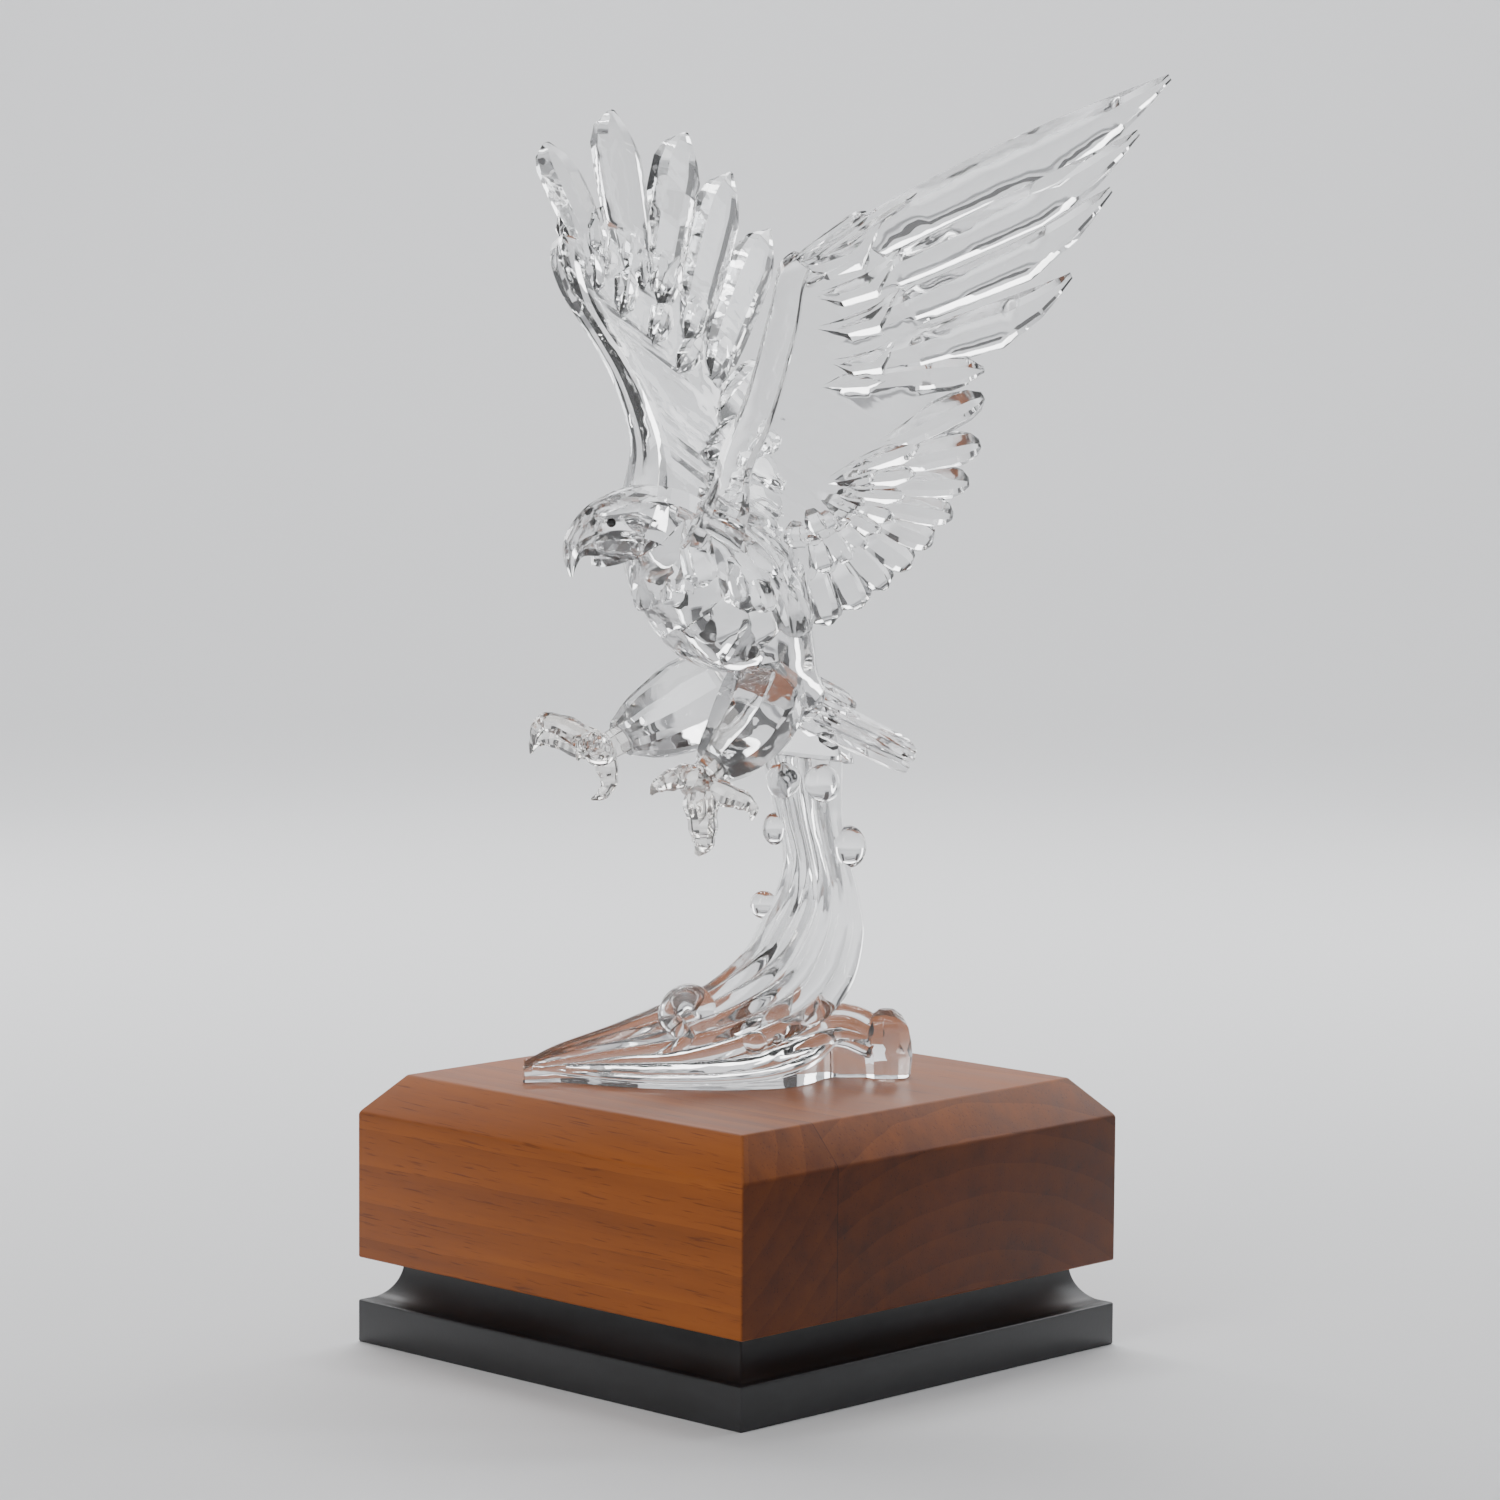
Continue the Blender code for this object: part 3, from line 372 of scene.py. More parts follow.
# Walnut block
# Two walnut boards glued edge to edge, with the long grain along one side and end grain on the other.
# The top has a wide chamfer, and the whole is oiled to a satin finish.

BLOCK_SIDE = 127.0 * MM
BLOCK_FOOT = 20.3 * MM
BLOCK_TOP = 64.2 * MM
CHAMFER_WIDTH = 8.2 * MM
CHAMFER_DROP = 9.0 * MM
GLUE_LINE = -33.0 * MM
GLUE_HALF_WIDTH = 0.12 * MM
WALNUT_TONES = (
    (0.0, (0.060, 0.013, 0.003)),
    (0.34, (0.170, 0.042, 0.005)),
    (0.62, (0.300, 0.080, 0.008)),
    (1.0, (0.420, 0.130, 0.015)),
)
END_GRAIN_SHADE = (0.36, 0.30, 0.28, 1.0)
GLUE_SHADE = (0.45, 0.40, 0.38, 1.0)
# Where each board lay in its tree, as a place and a turn
WIDE_BOARD = ((0.0, -0.012, 0.055), (0.0, radians(1.6), radians(-1.2)))
NARROW_BOARD = ((0.3, 0.14, -0.13), (0.0, radians(-1.0), radians(1.4)))


def maths(add, operation, *values):
    return add("ShaderNodeMath", dict(enumerate(values)), operation=operation).outputs[0]


def oiled_walnut():
    """Growth rings round a pith that lies along X, with long pores, the glue line and darker end grain."""
    material, shader, add, where = new_material("oiled walnut", {
        "IOR": 1.46, "Specular IOR Level": 0.32, "Coat Weight": 0.03, "Coat Roughness": 0.22,
    })
    place = where["Object"]

    def shaded(factor, colour, shade):
        inputs = {"Factor": factor, 6: colour, 7: shade}
        return add("ShaderNodeMix", inputs, data_type="RGBA", blend_type="MULTIPLY").outputs[2]

    across = add("ShaderNodeSeparateXYZ", {"Vector": place}).outputs["Y"]
    boards = [
        add("ShaderNodeMapping", {"Vector": place, "Location": spot, "Rotation": turn}).outputs["Vector"]
        for spot, turn in (WIDE_BOARD, NARROW_BOARD)
    ]
    pick = {"Factor": maths(add, "LESS_THAN", across, GLUE_LINE), 4: boards[0], 5: boards[1]}
    grain = add("ShaderNodeMix", pick, data_type="VECTOR").outputs[1]
    long_grain = scaled_place(add, grain, (0.16, 1.0, 1.0))
    ring_shape = {
        "Vector": long_grain, "Scale": 46.0, "Distortion": 2.6, "Detail": 3.0, "Detail Scale": 0.55,
        "Detail Roughness": 0.55,
    }
    rings = add("ShaderNodeTexWave", ring_shape, wave_type="RINGS", rings_direction="X", wave_profile="SAW")
    streaks = mottle(add, scaled_place(add, grain, (9.0, 150.0, 150.0)), 1.0, 6.0, 0.62)
    cloud = mottle(add, long_grain, 26.0, 3.0)
    pore_noise = mottle(add, scaled_place(add, grain, (90.0, 2100.0, 2100.0)))
    pore_range = {"Value": pore_noise, "From Min": 0.60, "From Max": 0.74}
    pores = add("ShaderNodeMapRange", pore_range).outputs["Result"]
    streaked = maths(add, "MULTIPLY_ADD", streaks, 0.55, -0.10)
    ringed = maths(add, "MULTIPLY_ADD", rings.outputs["Fac"], 0.13, streaked)
    clouded = maths(add, "MULTIPLY_ADD", cloud, 0.55, ringed)
    tone = tone_ramp(add, maths(add, "MULTIPLY_ADD", pores, -0.25, clouded), WALNUT_TONES)
    facing = add("ShaderNodeSeparateXYZ", {"Vector": where["Normal"]}).outputs["X"]
    tone = shaded(maths(add, "POWER", facing, 2.0), tone, END_GRAIN_SHADE)
    tone = shaded(maths(add, "COMPARE", across, GLUE_LINE, GLUE_HALF_WIDTH), tone, GLUE_SHADE)
    fill(shader, {
        "Base Color": tone,
        "Roughness": between(add, streaks, 0.40, 0.56),
        "Normal": dented(add, pores, 0.12, 0.0002, invert=True),
    })
    return material


half = BLOCK_SIDE / 2.0
block = square_moulding("walnut_boards", [
    (half, BLOCK_FOOT),
    (half, BLOCK_TOP - CHAMFER_DROP),
    (half - CHAMFER_WIDTH, BLOCK_TOP),
], oiled_walnut())
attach(block, "root")
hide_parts("walnut_block")


# Breaking wave
# One clear acrylic casting: a low toe and ridges that lie on the walnut, a spur that arches to a faceted
# knob, and a crest of strands that curls up into the column under the bird. Drops of spray stand on it.

FIGURE_FLOOR = 64.5 * MM
WAVE_TURN = radians(45.0)
WAVE_SHADING = 34.0
ACRYLIC_TINT = (0.995, 0.998, 1.0)
ACRYLIC_RIPPLE = 0.35 * MM

# All in millimetres: r is along the wave, d towards the viewer and z above the block
# Stations of the crest: (left edge's r, d, z, right edge's r, d, z, thickness)
CREST = (
    (-50, 9.5, 3.6, -50, 13, 2, 3),
    (-43, 5, 6.6, -43, 12.5, 2.4, 3.8),
    (-30, 1, 10.4, -28, 14, 4, 5.2),
    (-18, -2, 15, -12, 15, 5, 6.6),
    (-7.5, -6, 19, 6, 12, 9, 7.6),
    (1.5, -12, 26.5, 20, 4, 14, 8.2),
    (5.5, -15, 34, 27, -5, 21, 8.6),
    (9.3, -16, 41.5, 29.8, -11, 31, 9),
    (10.6, -16, 48, 29, -14, 40, 9.4),
    (9.8, -16, 55, 26.5, -16, 50, 9.6),
    (8, -16, 63, 24.8, -16, 60, 9.6),
    (5, -16, 75.2, 24.6, -16, 73, 9.6),
)
# Each strand of the crest is (share across, half its share of the width, share of the thickness)
CREST_STRANDS = (
    (0.06, 0.072, 0.86), (0.19, 0.084, 1.08), (0.35, 0.096, 1.12),
    (0.53, 0.104, 1.02), (0.72, 0.112, 0.86), (0.90, 0.100, 0.66),
)
CREST_STEPS = 96
CREST_SIDES = 20
CORE_COLUMNS = 12
CORE_THICKNESS = 0.34
# (r, back d, front d, back z, front z) of the mass that lies on the block
SWELL = (
    (-50.4, 7.2, 12.8, 5.4, 4.2),
    (-42, 4, 12, 7, 3.4),
    (-28, -1, 18, 10.2, 2.8),
    (-16, -5, 21, 12.6, 2.8),
    (-4, -8, 22, 13.6, 3.2),
    (6, -9, 20.6, 14.2, 4),
    (13, -8.5, 17, 14, 5.4),
    (18, -8, 10, 13, 7),
    (21.5, -6, 3.6, 12, 9.4),
    (25, -4.2, 3.2, 12, 9.6),
    (29, -3.4, 3, 10.6, 8),
    (33, -3.2, 3, 8, 6),
)
SWELL_STEPS = 48
SWELL_COLUMNS = 8
BURIED = -4.0
# (share across, radius)
SWELL_RIDGES = ((0.14, 1.9), (0.36, 2.1), (0.58, 2.2), (0.80, 2.2), (0.97, 1.7))
RIDGE_STEPS = 64
RIDGE_SIDES = 16
# Ridges that leave the swell and arch over to the knob: (r, d, z, radius)
SPUR_RIDGES = (
    ((-10, -3, 11, 1.6), (2, -4, 12.4, 2.4), (12, -4, 12.4, 2.6), (19, -3.2, 13.6, 2.4),
     (24, -2.2, 14.6, 2.3), (29.5, -1, 13.4, 2.3), (34.6, 0, 9.6, 2.6)),
    ((-24, 9, 6.4, 1.6), (-8, 8, 8, 2.4), (6, 5, 9, 2.6), (14, 1.6, 10, 2.6),
     (21, 0.4, 12, 2.4), (27, 0.8, 11.8, 2.2), (34.4, 0.8, 7.6, 2.4)),
    ((-40, 12, 3, 1.4), (-18, 17.4, 3.4, 2.4), (0, 17.4, 4.2, 2.8), (9, 12.6, 6, 2.6),
     (16.4, 7.4, 8.2, 2.4), (22.8, 3.6, 9.8, 2), (29, 2.6, 8.6, 1.8), (34, 2, 6, 2)),
)
KNOB_SIDES = 9
KNOB = (35.0, 0.0)
# (z, radius)
KNOB_RINGS = ((-2, 5.6), (4.6, 6.2), (5, 6.2), (8.4, 6.2), (11.6, 5.5), (14.2, 4), (15.8, 1.8))
# The curled drop on the crest's near side, and the short runnel that it throws down
CURL = (
    (-9, 1, 12.5, 2.8), (-8.6, 4, 17, 3.2), (-11.6, 6, 19.4, 3.2), (-15, 7.4, 18, 3),
    (-16.4, 8.6, 14.8, 2.6), (-14, 9.6, 12.4, 2.4), (-12.2, 10.6, 10, 2.2), (-15, 12, 7.8, 2),
    (-18.6, 13, 6.2, 1.4),
)
CURL_STEPS = 72
# (r, d, z, radius, stretch upwards) of the round drops
DROPS = (
    (6, -14.8, 38.6, 3.2, 1.05), (26.4, -15, 52.6, 4, 1.25), (8.4, -13.6, 57, 2.8, 1.4),
    (3.6, 12, 9.8, 3.1, 0.85), (10.4, -12, 68.8, 4.2, 1.05), (19.8, -11.8, 68.2, 4.2, 1.1),
    (8.6, 9.6, 10.4, 2.2, 0.8),
)


def clear_acrylic(name, tint, roughness, ripple):
    """Polished clear plastic. Slow ripples in the cast face bend what is seen through it."""
    material, shader, add, where = new_material(name, {
        "Base Color": (*tint, 1.0), "Roughness": roughness, "IOR": 1.49, "Transmission Weight": 0.965,
    })
    swell = mottle(add, where["Object"], 120.0, 1.5, 0.45)
    fill(shader, {"Normal": dented(add, swell, 1.0, ripple)})
    return material


def figure_point(point, turn):
    """A point drawn in millimetres over the block, turned about the plinth's axis."""
    turned = Matrix.Rotation(turn, 3, "Z") @ Vector(point)
    return turned * MM + Vector((0.0, 0.0, FIGURE_FLOOR))


def wave_place(point):
    return figure_point((point[0], -point[1], point[2]), WAVE_TURN)


def smooth_run(stations, steps):
    """A smooth run through stations of any numbers, read at even steps."""
    last = len(stations) - 1
    run = []
    for i in range(steps + 1):
        position = last * i / steps
        k = min(int(position), last - 1)
        t = position - k
        near = (stations[max(k - 1, 0)], stations[k], stations[k + 1], stations[min(k + 2, last)])
        run.append([
            0.5 * (2.0 * b + (c - a) * t + (2.0 * a - 5.0 * b + 4.0 * c - d) * t * t
                   + (3.0 * b - a - 3.0 * c + d) * t * t * t)
            for a, b, c, d in zip(*near)
        ])
    return run


def new_tree(name, inputs):
    """A Geometry Nodes tree with named inputs, its node maker, and the sockets of its inputs."""
    tree = bpy.data.node_groups.new(name, "GeometryNodeTree")
    face = tree.interface
    face.new_socket("Geometry", in_out="INPUT", socket_type="NodeSocketGeometry")
    for label, kind, default in inputs:
        face.new_socket(label, in_out="INPUT", socket_type=kind).default_value = default
    face.new_socket("Material", in_out="INPUT", socket_type="NodeSocketMaterial")
    face.new_socket("Geometry", in_out="OUTPUT", socket_type="NodeSocketGeometry")
    add = node_maker(tree)
    return tree, add, add("NodeGroupInput").outputs


def paint_and_leave(add, geometry, material):
    real = add("GeometryNodeRealizeInstances", {"Geometry": geometry}).outputs["Geometry"]
    paint = add("GeometryNodeSetMaterial", {"Geometry": real, "Material": material})
    add("NodeGroupOutput", {"Geometry": paint.outputs["Geometry"]})


def strand_tree():
    """Sweeps a section along each line. The line's points carry their own half width and half thickness."""
    tree, add, entry = new_tree("strands along lines", (
        ("Sides", "NodeSocketInt", 12), ("Flat Share", "NodeSocketFloat", 0.0),
    ))
    lines = add("GeometryNodeMeshToCurve", {"Mesh": entry["Geometry"]}).outputs["Curve"]
    circle = add("GeometryNodeCurvePrimitiveCircle", {"Radius": 1.0, "Resolution": entry["Sides"]})
    place = add("GeometryNodeInputPosition").outputs["Position"]
    parts = add("ShaderNodeSeparateXYZ", {"Vector": place}).outputs

    # With a flat share, the points off the ends move out to a flat top and bottom with two bevels
    off_end = maths(add, "LESS_THAN", maths(add, "ABSOLUTE", parts["X"]), 0.9)
    flat_on = maths(add, "GREATER_THAN", entry["Flat Share"], 0.001)
    is_flat = maths(add, "GREATER_THAN", maths(add, "MULTIPLY", off_end, flat_on), 0.5)
    flat_x = maths(add, "MULTIPLY", maths(add, "SIGN", parts["X"]), entry["Flat Share"])
    flat_y = maths(add, "SIGN", parts["Y"])
    shape = circle.outputs["Curve"]
    for name, rounded, flat in (("section_x", parts["X"], flat_x), ("section_y", parts["Y"], flat_y)):
        choice = {"Switch": is_flat, "False": rounded, "True": flat}
        value = add("GeometryNodeSwitch", choice, input_type="FLOAT").outputs[0]
        stored = {"Name": name, "Geometry": shape, "Value": value}
        store = add("GeometryNodeStoreNamedAttribute", stored, data_type="FLOAT", domain="POINT")
        shape = store.outputs["Geometry"]
    sweep = add("GeometryNodeCurveToMesh", {"Curve": lines, "Profile Curve": shape, "Fill Caps": True})

    def read(name, kind):
        return add("GeometryNodeInputNamedAttribute", {"Name": name}, data_type=kind).outputs["Attribute"]

    def scaled(name, factor):
        inputs = {0: read(name, "FLOAT_VECTOR"), "Scale": read(factor, "FLOAT")}
        return add("ShaderNodeVectorMath", inputs, operation="SCALE").outputs["Vector"]

    def total(first, second):
        return add("ShaderNodeVectorMath", {0: first, 1: second}, operation="ADD").outputs["Vector"]

    offset = total(scaled("half_width", "section_x"), scaled("half_thickness", "section_y"))
    spot = total(read("middle", "FLOAT_VECTOR"), offset)
    move = add("GeometryNodeSetPosition", {"Geometry": sweep.outputs["Mesh"], "Position": spot})
    paint_and_leave(add, move.outputs["Geometry"], entry["Material"])
    return tree


def casting_tree():
    """Fuses every closed shell of a casting into one skin, and cuts it off flat at a height."""
    tree, add, entry = new_tree("one casting", (("Floor Height", "NodeSocketFloat", -1.0),))
    island = add("GeometryNodeInputMeshIsland").outputs["Island Index"]
    shells = {"Geometry": entry["Geometry"], "Group ID": island}
    split = add("GeometryNodeSplitToInstances", shells, domain="FACE").outputs["Instances"]
    fuse = add("GeometryNodeMeshBoolean", {"Mesh": split}, operation="UNION", solver="MANIFOLD")
    slab = add("GeometryNodeMeshCube", {"Size": (2.0, 2.0, 2.0)}).outputs["Mesh"]
    middle = maths(add, "SUBTRACT", entry["Floor Height"], 1.0)
    drop = add("ShaderNodeCombineXYZ", {"Z": middle}).outputs["Vector"]
    under = add("GeometryNodeTransform", {"Geometry": slab, "Translation": drop}).outputs["Geometry"]
    pair = {"Mesh 1": fuse.outputs["Mesh"], "Mesh 2": under}
    cut = add("GeometryNodeMeshBoolean", pair, operation="DIFFERENCE", solver="MANIFOLD")
    paint_and_leave(add, cut.outputs["Mesh"], entry["Material"])
    return tree


STRANDS = strand_tree()
CASTING = casting_tree()


def grow(obj, tree, values):
    """Puts a node tree on an object, with inputs that are found by name and set by identifier."""
    modifier = obj.modifiers.new(tree.name, "NODES")
    modifier.node_group = tree
    for item in tree.interface.items_tree:
        if item.item_type == "SOCKET" and item.in_out == "INPUT" and item.name in values:
            modifier[item.identifier] = values[item.name]


def add_strands(form, lines, material, sides, flat_share=0.0):
    """Adds swept shells to a bmesh. A line is a list of (middle, half width, half thickness) in metres."""
    points = [station for line in lines for station in line]
    edges = []
    start = 0
    for line in lines:
        edges += [(start + i, start + i + 1) for i in range(len(line) - 1)]
        start += len(line)
    mesh = bpy.data.meshes.new("strand lines")
    mesh.from_pydata([station[0] for station in points], edges, [])
    for index, name in enumerate(("middle", "half_width", "half_thickness")):
        values = [number for station in points for number in station[index]]
        mesh.attributes.new(name, "FLOAT_VECTOR", "POINT").data.foreach_set("vector", values)
    obj = linked("strand lines", mesh)
    grow(obj, STRANDS, {"Sides": sides, "Flat Share": flat_share, "Material": material})
    swept = made_mesh(obj)
    form.from_mesh(swept)
    bpy.data.objects.remove(obj, do_unlink=True)
    bpy.data.meshes.remove(swept)


def fuse_casting(name, form, material, smooth_angle, floor_height=-1.0):
    """Closes a bmesh of overlapping shells into one casting with a single outer skin."""
    bmesh.ops.recalc_face_normals(form, faces=form.faces)
    bmesh.ops.triangulate(form, faces=[face for face in form.faces if len(face.verts) > 4])
    obj = new_object(name, form, material)
    grow(obj, CASTING, {"Floor Height": floor_height, "Material": material})
    return finish_mesh(obj, name, smooth_angle)


def limb_line(place, stations, steps, flatten=1.0):
    """A round limb through (x, y, z, radius) stations, as a line of middles with half sizes."""
    run = smooth_run(stations, steps)
    line = []
    side = None
    for i, station in enumerate(run):
        point = Vector(station[:3])
        axis = (Vector(run[min(i + 1, steps)][:3]) - Vector(run[max(i - 1, 0)][:3])).normalized()
        if side is None:
            side = axis.cross(Vector((0.0, 0.0, 1.0)))
            if side.length < 0.2:
                side = axis.cross(Vector((0.0, 1.0, 0.0)))
        side = (side - axis * side.dot(axis)).normalized()
        middle = place(point)
        radius = max(station[3], 0.05)
        wide = place(point + side * radius * flatten) - middle
        thick = place(point + axis.cross(side) * radius) - middle
        line.append((middle, wide, thick))
    return line


def crest_frames():
    """The crest's left and right edges, the direction of its near face, and its thickness at each step."""
    run = smooth_run(CREST, CREST_STEPS)
    frames = []
    for i, values in enumerate(run):
        left = Vector(values[:3])
        right = Vector(values[3:6])
        ahead = run[min(i + 1, CREST_STEPS)]
        behind = run[max(i - 1, 0)]
        axis = Vector(ahead[:3]) + Vector(ahead[3:6]) - Vector(behind[:3]) - Vector(behind[3:6])
        normal = axis.cross(right - left).normalized()
        if normal.y < 0.0:
            normal = -normal
        if i == CREST_STEPS:
            normal = Vector((0.0, 1.0, 0.0))
        frames.append((left, right, normal, values[6]))
    return frames


def crest_lines():
    """The crest's strands, side by side between its left and right edges."""
    lines = []
    for share, half_share, thick_share in CREST_STRANDS:
        line = []
        for left, right, normal, thickness in crest_frames():
            middle = left.lerp(right, share)
            wide = (right - left) * half_share
            thick = normal * thickness * 0.5 * thick_share
            spot = wave_place(middle)
            line.append((spot, wave_place(middle + wide) - spot, wave_place(middle + thick) - spot))
        lines.append(line)
    return lines


def crest_core(form):
    """The thin plate between the strands, which thins and crinkles towards the crest's open edge."""
    rings = []
    for left, right, normal, thickness in crest_frames():
        front = []
        back = []
        for k in range(CORE_COLUMNS + 1):
            share = 0.05 + 0.92 * k / CORE_COLUMNS
            half = thickness * 0.5 * (CORE_THICKNESS - 0.4 * max(share - 0.75, 0.0))
            middle = left.lerp(right, share)
            crinkle = 0.0
            if share > 0.7 and 12.0 < middle.z < 52.0:
                crinkle = 0.9 * (share - 0.7) / 0.3 * noise.noise(middle * 0.33)
            front.append(wave_place(middle + normal * (half + crinkle)))
            back.append(wave_place(middle - normal * (half - crinkle)))
        rings.append(front + back[::-1])
    loft(form, rings)


def swell_core(form):
    """The mass on the block under the ridges."""
    rings = []
    for r, back, front, back_z, front_z in smooth_run(SWELL, SWELL_STEPS):
        ring = [(r, back, BURIED)]
        for i in range(SWELL_COLUMNS + 1):
            share = i / SWELL_COLUMNS
            z = back_z + (front_z - back_z) * share - 0.9 - 1.1 * sin(pi * share)
            ring.append((r, back + (front - back) * share, z))
        ring.append((r, front, BURIED))
        rings.append([wave_place(point) for point in ring])
    loft(form, rings)


def swell_lines():
    """The ridges along the swell, which rise from nothing at its toe."""
    lines = []
    run = smooth_run(SWELL, RIDGE_STEPS)
    for share, radius in SWELL_RIDGES:
        stations = []
        for i, (r, back, front, back_z, front_z) in enumerate(run):
            swollen = min(1.0, 0.45 + 1.1 * i / len(run))
            d = back + (front - back) * share
            z = back_z + (front_z - back_z) * share
            stations.append((r, d, max(z - radius * 0.55, 0.6), radius * swollen))
        lines.append(limb_line(wave_place, stations[2:-2], RIDGE_STEPS, 1.25))
    return lines


def faceted_knob(form):
    """The cut knob that ends the spur: flat sides and a domed top, whose facets turn by half a side."""
    rings = []
    for index, (z, radius) in enumerate(KNOB_RINGS):
        ring = circle(radius, z, KNOB_SIDES, 0.5 * (index // 3))
        rings.append([wave_place((KNOB[0] + r, KNOB[1] + d, z)) for r, d, z in ring])
    loft(form, rings)


def round_drop(form, centre, radius, stretch):
    """A round drop of cast spray, slightly out of true."""
    matrix = Matrix.Diagonal((radius, radius, radius * stretch, 1.0))
    for vert in bmesh.ops.create_icosphere(form, subdivisions=4, radius=1.0)["verts"]:
        point = matrix @ vert.co
        point *= 1.0 + 0.05 * noise.noise(Vector(centre) * 0.7 + vert.co * 1.3)
        vert.co = wave_place(Vector(centre) + point)


cast_clear = clear_acrylic("clear cast acrylic", ACRYLIC_TINT, 0.0, ACRYLIC_RIPPLE)
form = bmesh.new()
crest_core(form)
swell_core(form)
faceted_knob(form)
for r, d, z, radius, stretch in DROPS:
    round_drop(form, (r, d, z), radius, stretch)
add_strands(form, crest_lines(), cast_clear, CREST_SIDES)
add_strands(form, swell_lines(), cast_clear, RIDGE_SIDES)
spur_lines = [limb_line(wave_place, stations, RIDGE_STEPS, 1.15) for stations in SPUR_RIDGES]
add_strands(form, spur_lines, cast_clear, RIDGE_SIDES)
add_strands(form, [limb_line(wave_place, CURL, CURL_STEPS)], cast_clear, RIDGE_SIDES)
wave = fuse_casting("breaking_wave", form, cast_clear, WAVE_SHADING, FIGURE_FLOOR)
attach(wave, "root")
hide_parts("wave_stand")


# Feet
# Two small castings in a slightly milkier acrylic, each bonded into a thigh by its shank: one is held up
# and open in front, the other reaches down. The toes have knuckles and end in hooked claws.

BIRD_TURN = radians(-15.0)
JOINT_GAP = 0.3
SHANK_LENGTH = 5.6
SHANK_RADIUS = 3.8
# (share of the shank's length, share of its radius)
SHANK_TAPER = ((0.0, 1.0), (0.35, 0.94), (0.7, 0.92), (1.0, 0.86))
SHANK_SIDES = 8
TOE_STEPS = 30
TOE_SIDES = 10
KNUCKLE = 0.07
HEEL_RADIUS = 4.1
HEEL_OFFSET = Vector((0.0, -0.4, 0.2))
FOOT_SHADING = 32.0
MILKY_TINT = (0.985, 0.97, 0.945)
MILKY_RIPPLE = 0.3 * MM
# The thigh's axis where it is cut off, as two points
RIGHT_COLLAR = ((-12.0, -23.4, 80.8), (-12.0, -25.2, 79.9))
LEFT_COLLAR = ((12.5, -12.0, 77.4), (13.0, -15.0, 75.2))
# Steps from the ankle with a radius
RIGHT_TOES = (
    ((0, 0.9, -0.3, 3.4), (0, -4, 2.3, 3.5), (0, -9.5, 5.7, 2.9), (0, -14.7, 7.3, 2.3),
     (0, -17.5, 5.3, 1.5), (0, -17.9, 2, 0.3)),
    ((0, 0.9, -0.3, 3.1), (-5, -4, 1.1, 2.8), (-9.5, -8, 2.7, 2.3), (-12, -11, 1.7, 1.6),
     (-12.6, -12.1, -1.3, 0.3)),
    ((0, 0.9, -0.3, 3.1), (4.5, -3, 1.3, 2.8), (8, -7.5, 3.1, 2.3), (9.6, -10.7, 2.1, 1.6),
     (9.8, -11.9, -0.9, 0.3)),
    ((0, 0.5, 0.3, 3), (0, 1.5, -4.3, 2.6), (0, 1.9, -7.7, 2), (0, 0.1, -10.3, 1.3),
     (0, -2.7, -11.3, 0.3)),
)
LEFT_TOES = (
    ((0.2, 0.9, 0.7, 3.2), (0.8, -3.7, 1.5, 3), (1.2, -7.9, 0.9, 2.4), (1.2, -11.3, -0.3, 1.6),
     (1.2, -12.9, -2.1, 0.4)),
    ((0.2, 0.9, -0.1, 3.4), (1.4, 0.3, -5.1, 4), (1.8, 0.7, -10.7, 3.2), (1.6, 0.7, -14.3, 2.4),
     (1.2, -0.7, -16.7, 0.6)),
    ((0.6, 1.3, -0.3, 3), (4, 5.3, -2.7, 2.8), (5.6, 9.3, -4.3, 2.2), (6.2, 11.3, -6.3, 1.4),
     (5.8, 11.1, -8.7, 0.3)),
    ((-0.2, 1.1, -0.5, 3), (-4.2, 2.3, -3.3, 2.6), (-6.4, 3.7, -5.9, 2), (-6.8, 4.1, -8.9, 1.3),
     (-6.2, 3.1, -11.3, 0.3)),
)


def bird_place(point):
    return figure_point(point, BIRD_TURN)


def knuckled(stations):
    """A toe whose radius swells at each joint before the claw."""
    joints = len(stations) - 2
    shaped = []
    for i, (x, y, z, radius) in enumerate(smooth_run(stations, TOE_STEPS)):
        share = i / TOE_STEPS * (len(stations) - 1)
        swell = KNUCKLE * cos(2.0 * pi * share) if share < joints else 0.0
        shaped.append((x, y, z, radius * (1.0 + swell)))
    return shaped


def make_foot(name, collar, toes, material):
    knee = Vector(collar[0])
    end = Vector(collar[1])
    axis = (end - knee).normalized()
    path = []
    for share, radius in SHANK_TAPER:
        spot = end + axis * (JOINT_GAP + SHANK_LENGTH * share)
        path.append((*spot, SHANK_RADIUS * radius))
    ankle = end + axis * (JOINT_GAP + SHANK_LENGTH)
    form = bmesh.new()
    add_strands(form, [limb_line(bird_place, path, len(path) - 1)], material, SHANK_SIDES)
    lines = []
    for toe in toes:
        stations = [(*(ankle + Vector(station[:3])), station[3]) for station in toe]
        lines.append(limb_line(bird_place, knuckled(stations), TOE_STEPS))
    add_strands(form, lines, material, TOE_SIDES)
    for vert in bmesh.ops.create_icosphere(form, subdivisions=3, radius=1.0)["verts"]:
        vert.co = bird_place(ankle + HEEL_OFFSET + vert.co * HEEL_RADIUS)
    foot = fuse_casting(name, form, material, FOOT_SHADING)
    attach(foot, "root")
    return foot


cast_milky = clear_acrylic("warm cast acrylic", MILKY_TINT, 0.03, MILKY_RIPPLE)
right_foot = make_foot("raised_foot", RIGHT_COLLAR, RIGHT_TOES, cast_milky)
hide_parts("right_foot")
left_foot = make_foot("reaching_foot", LEFT_COLLAR, LEFT_TOES, cast_milky)
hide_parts("left_foot")


# Eagle
# One clear acrylic casting with polished facets: the body, a head turned to one side, a ruff and shoulder
# feathers, feathered thighs, two raised wings and a fanned tail. It sits on the wave's column.

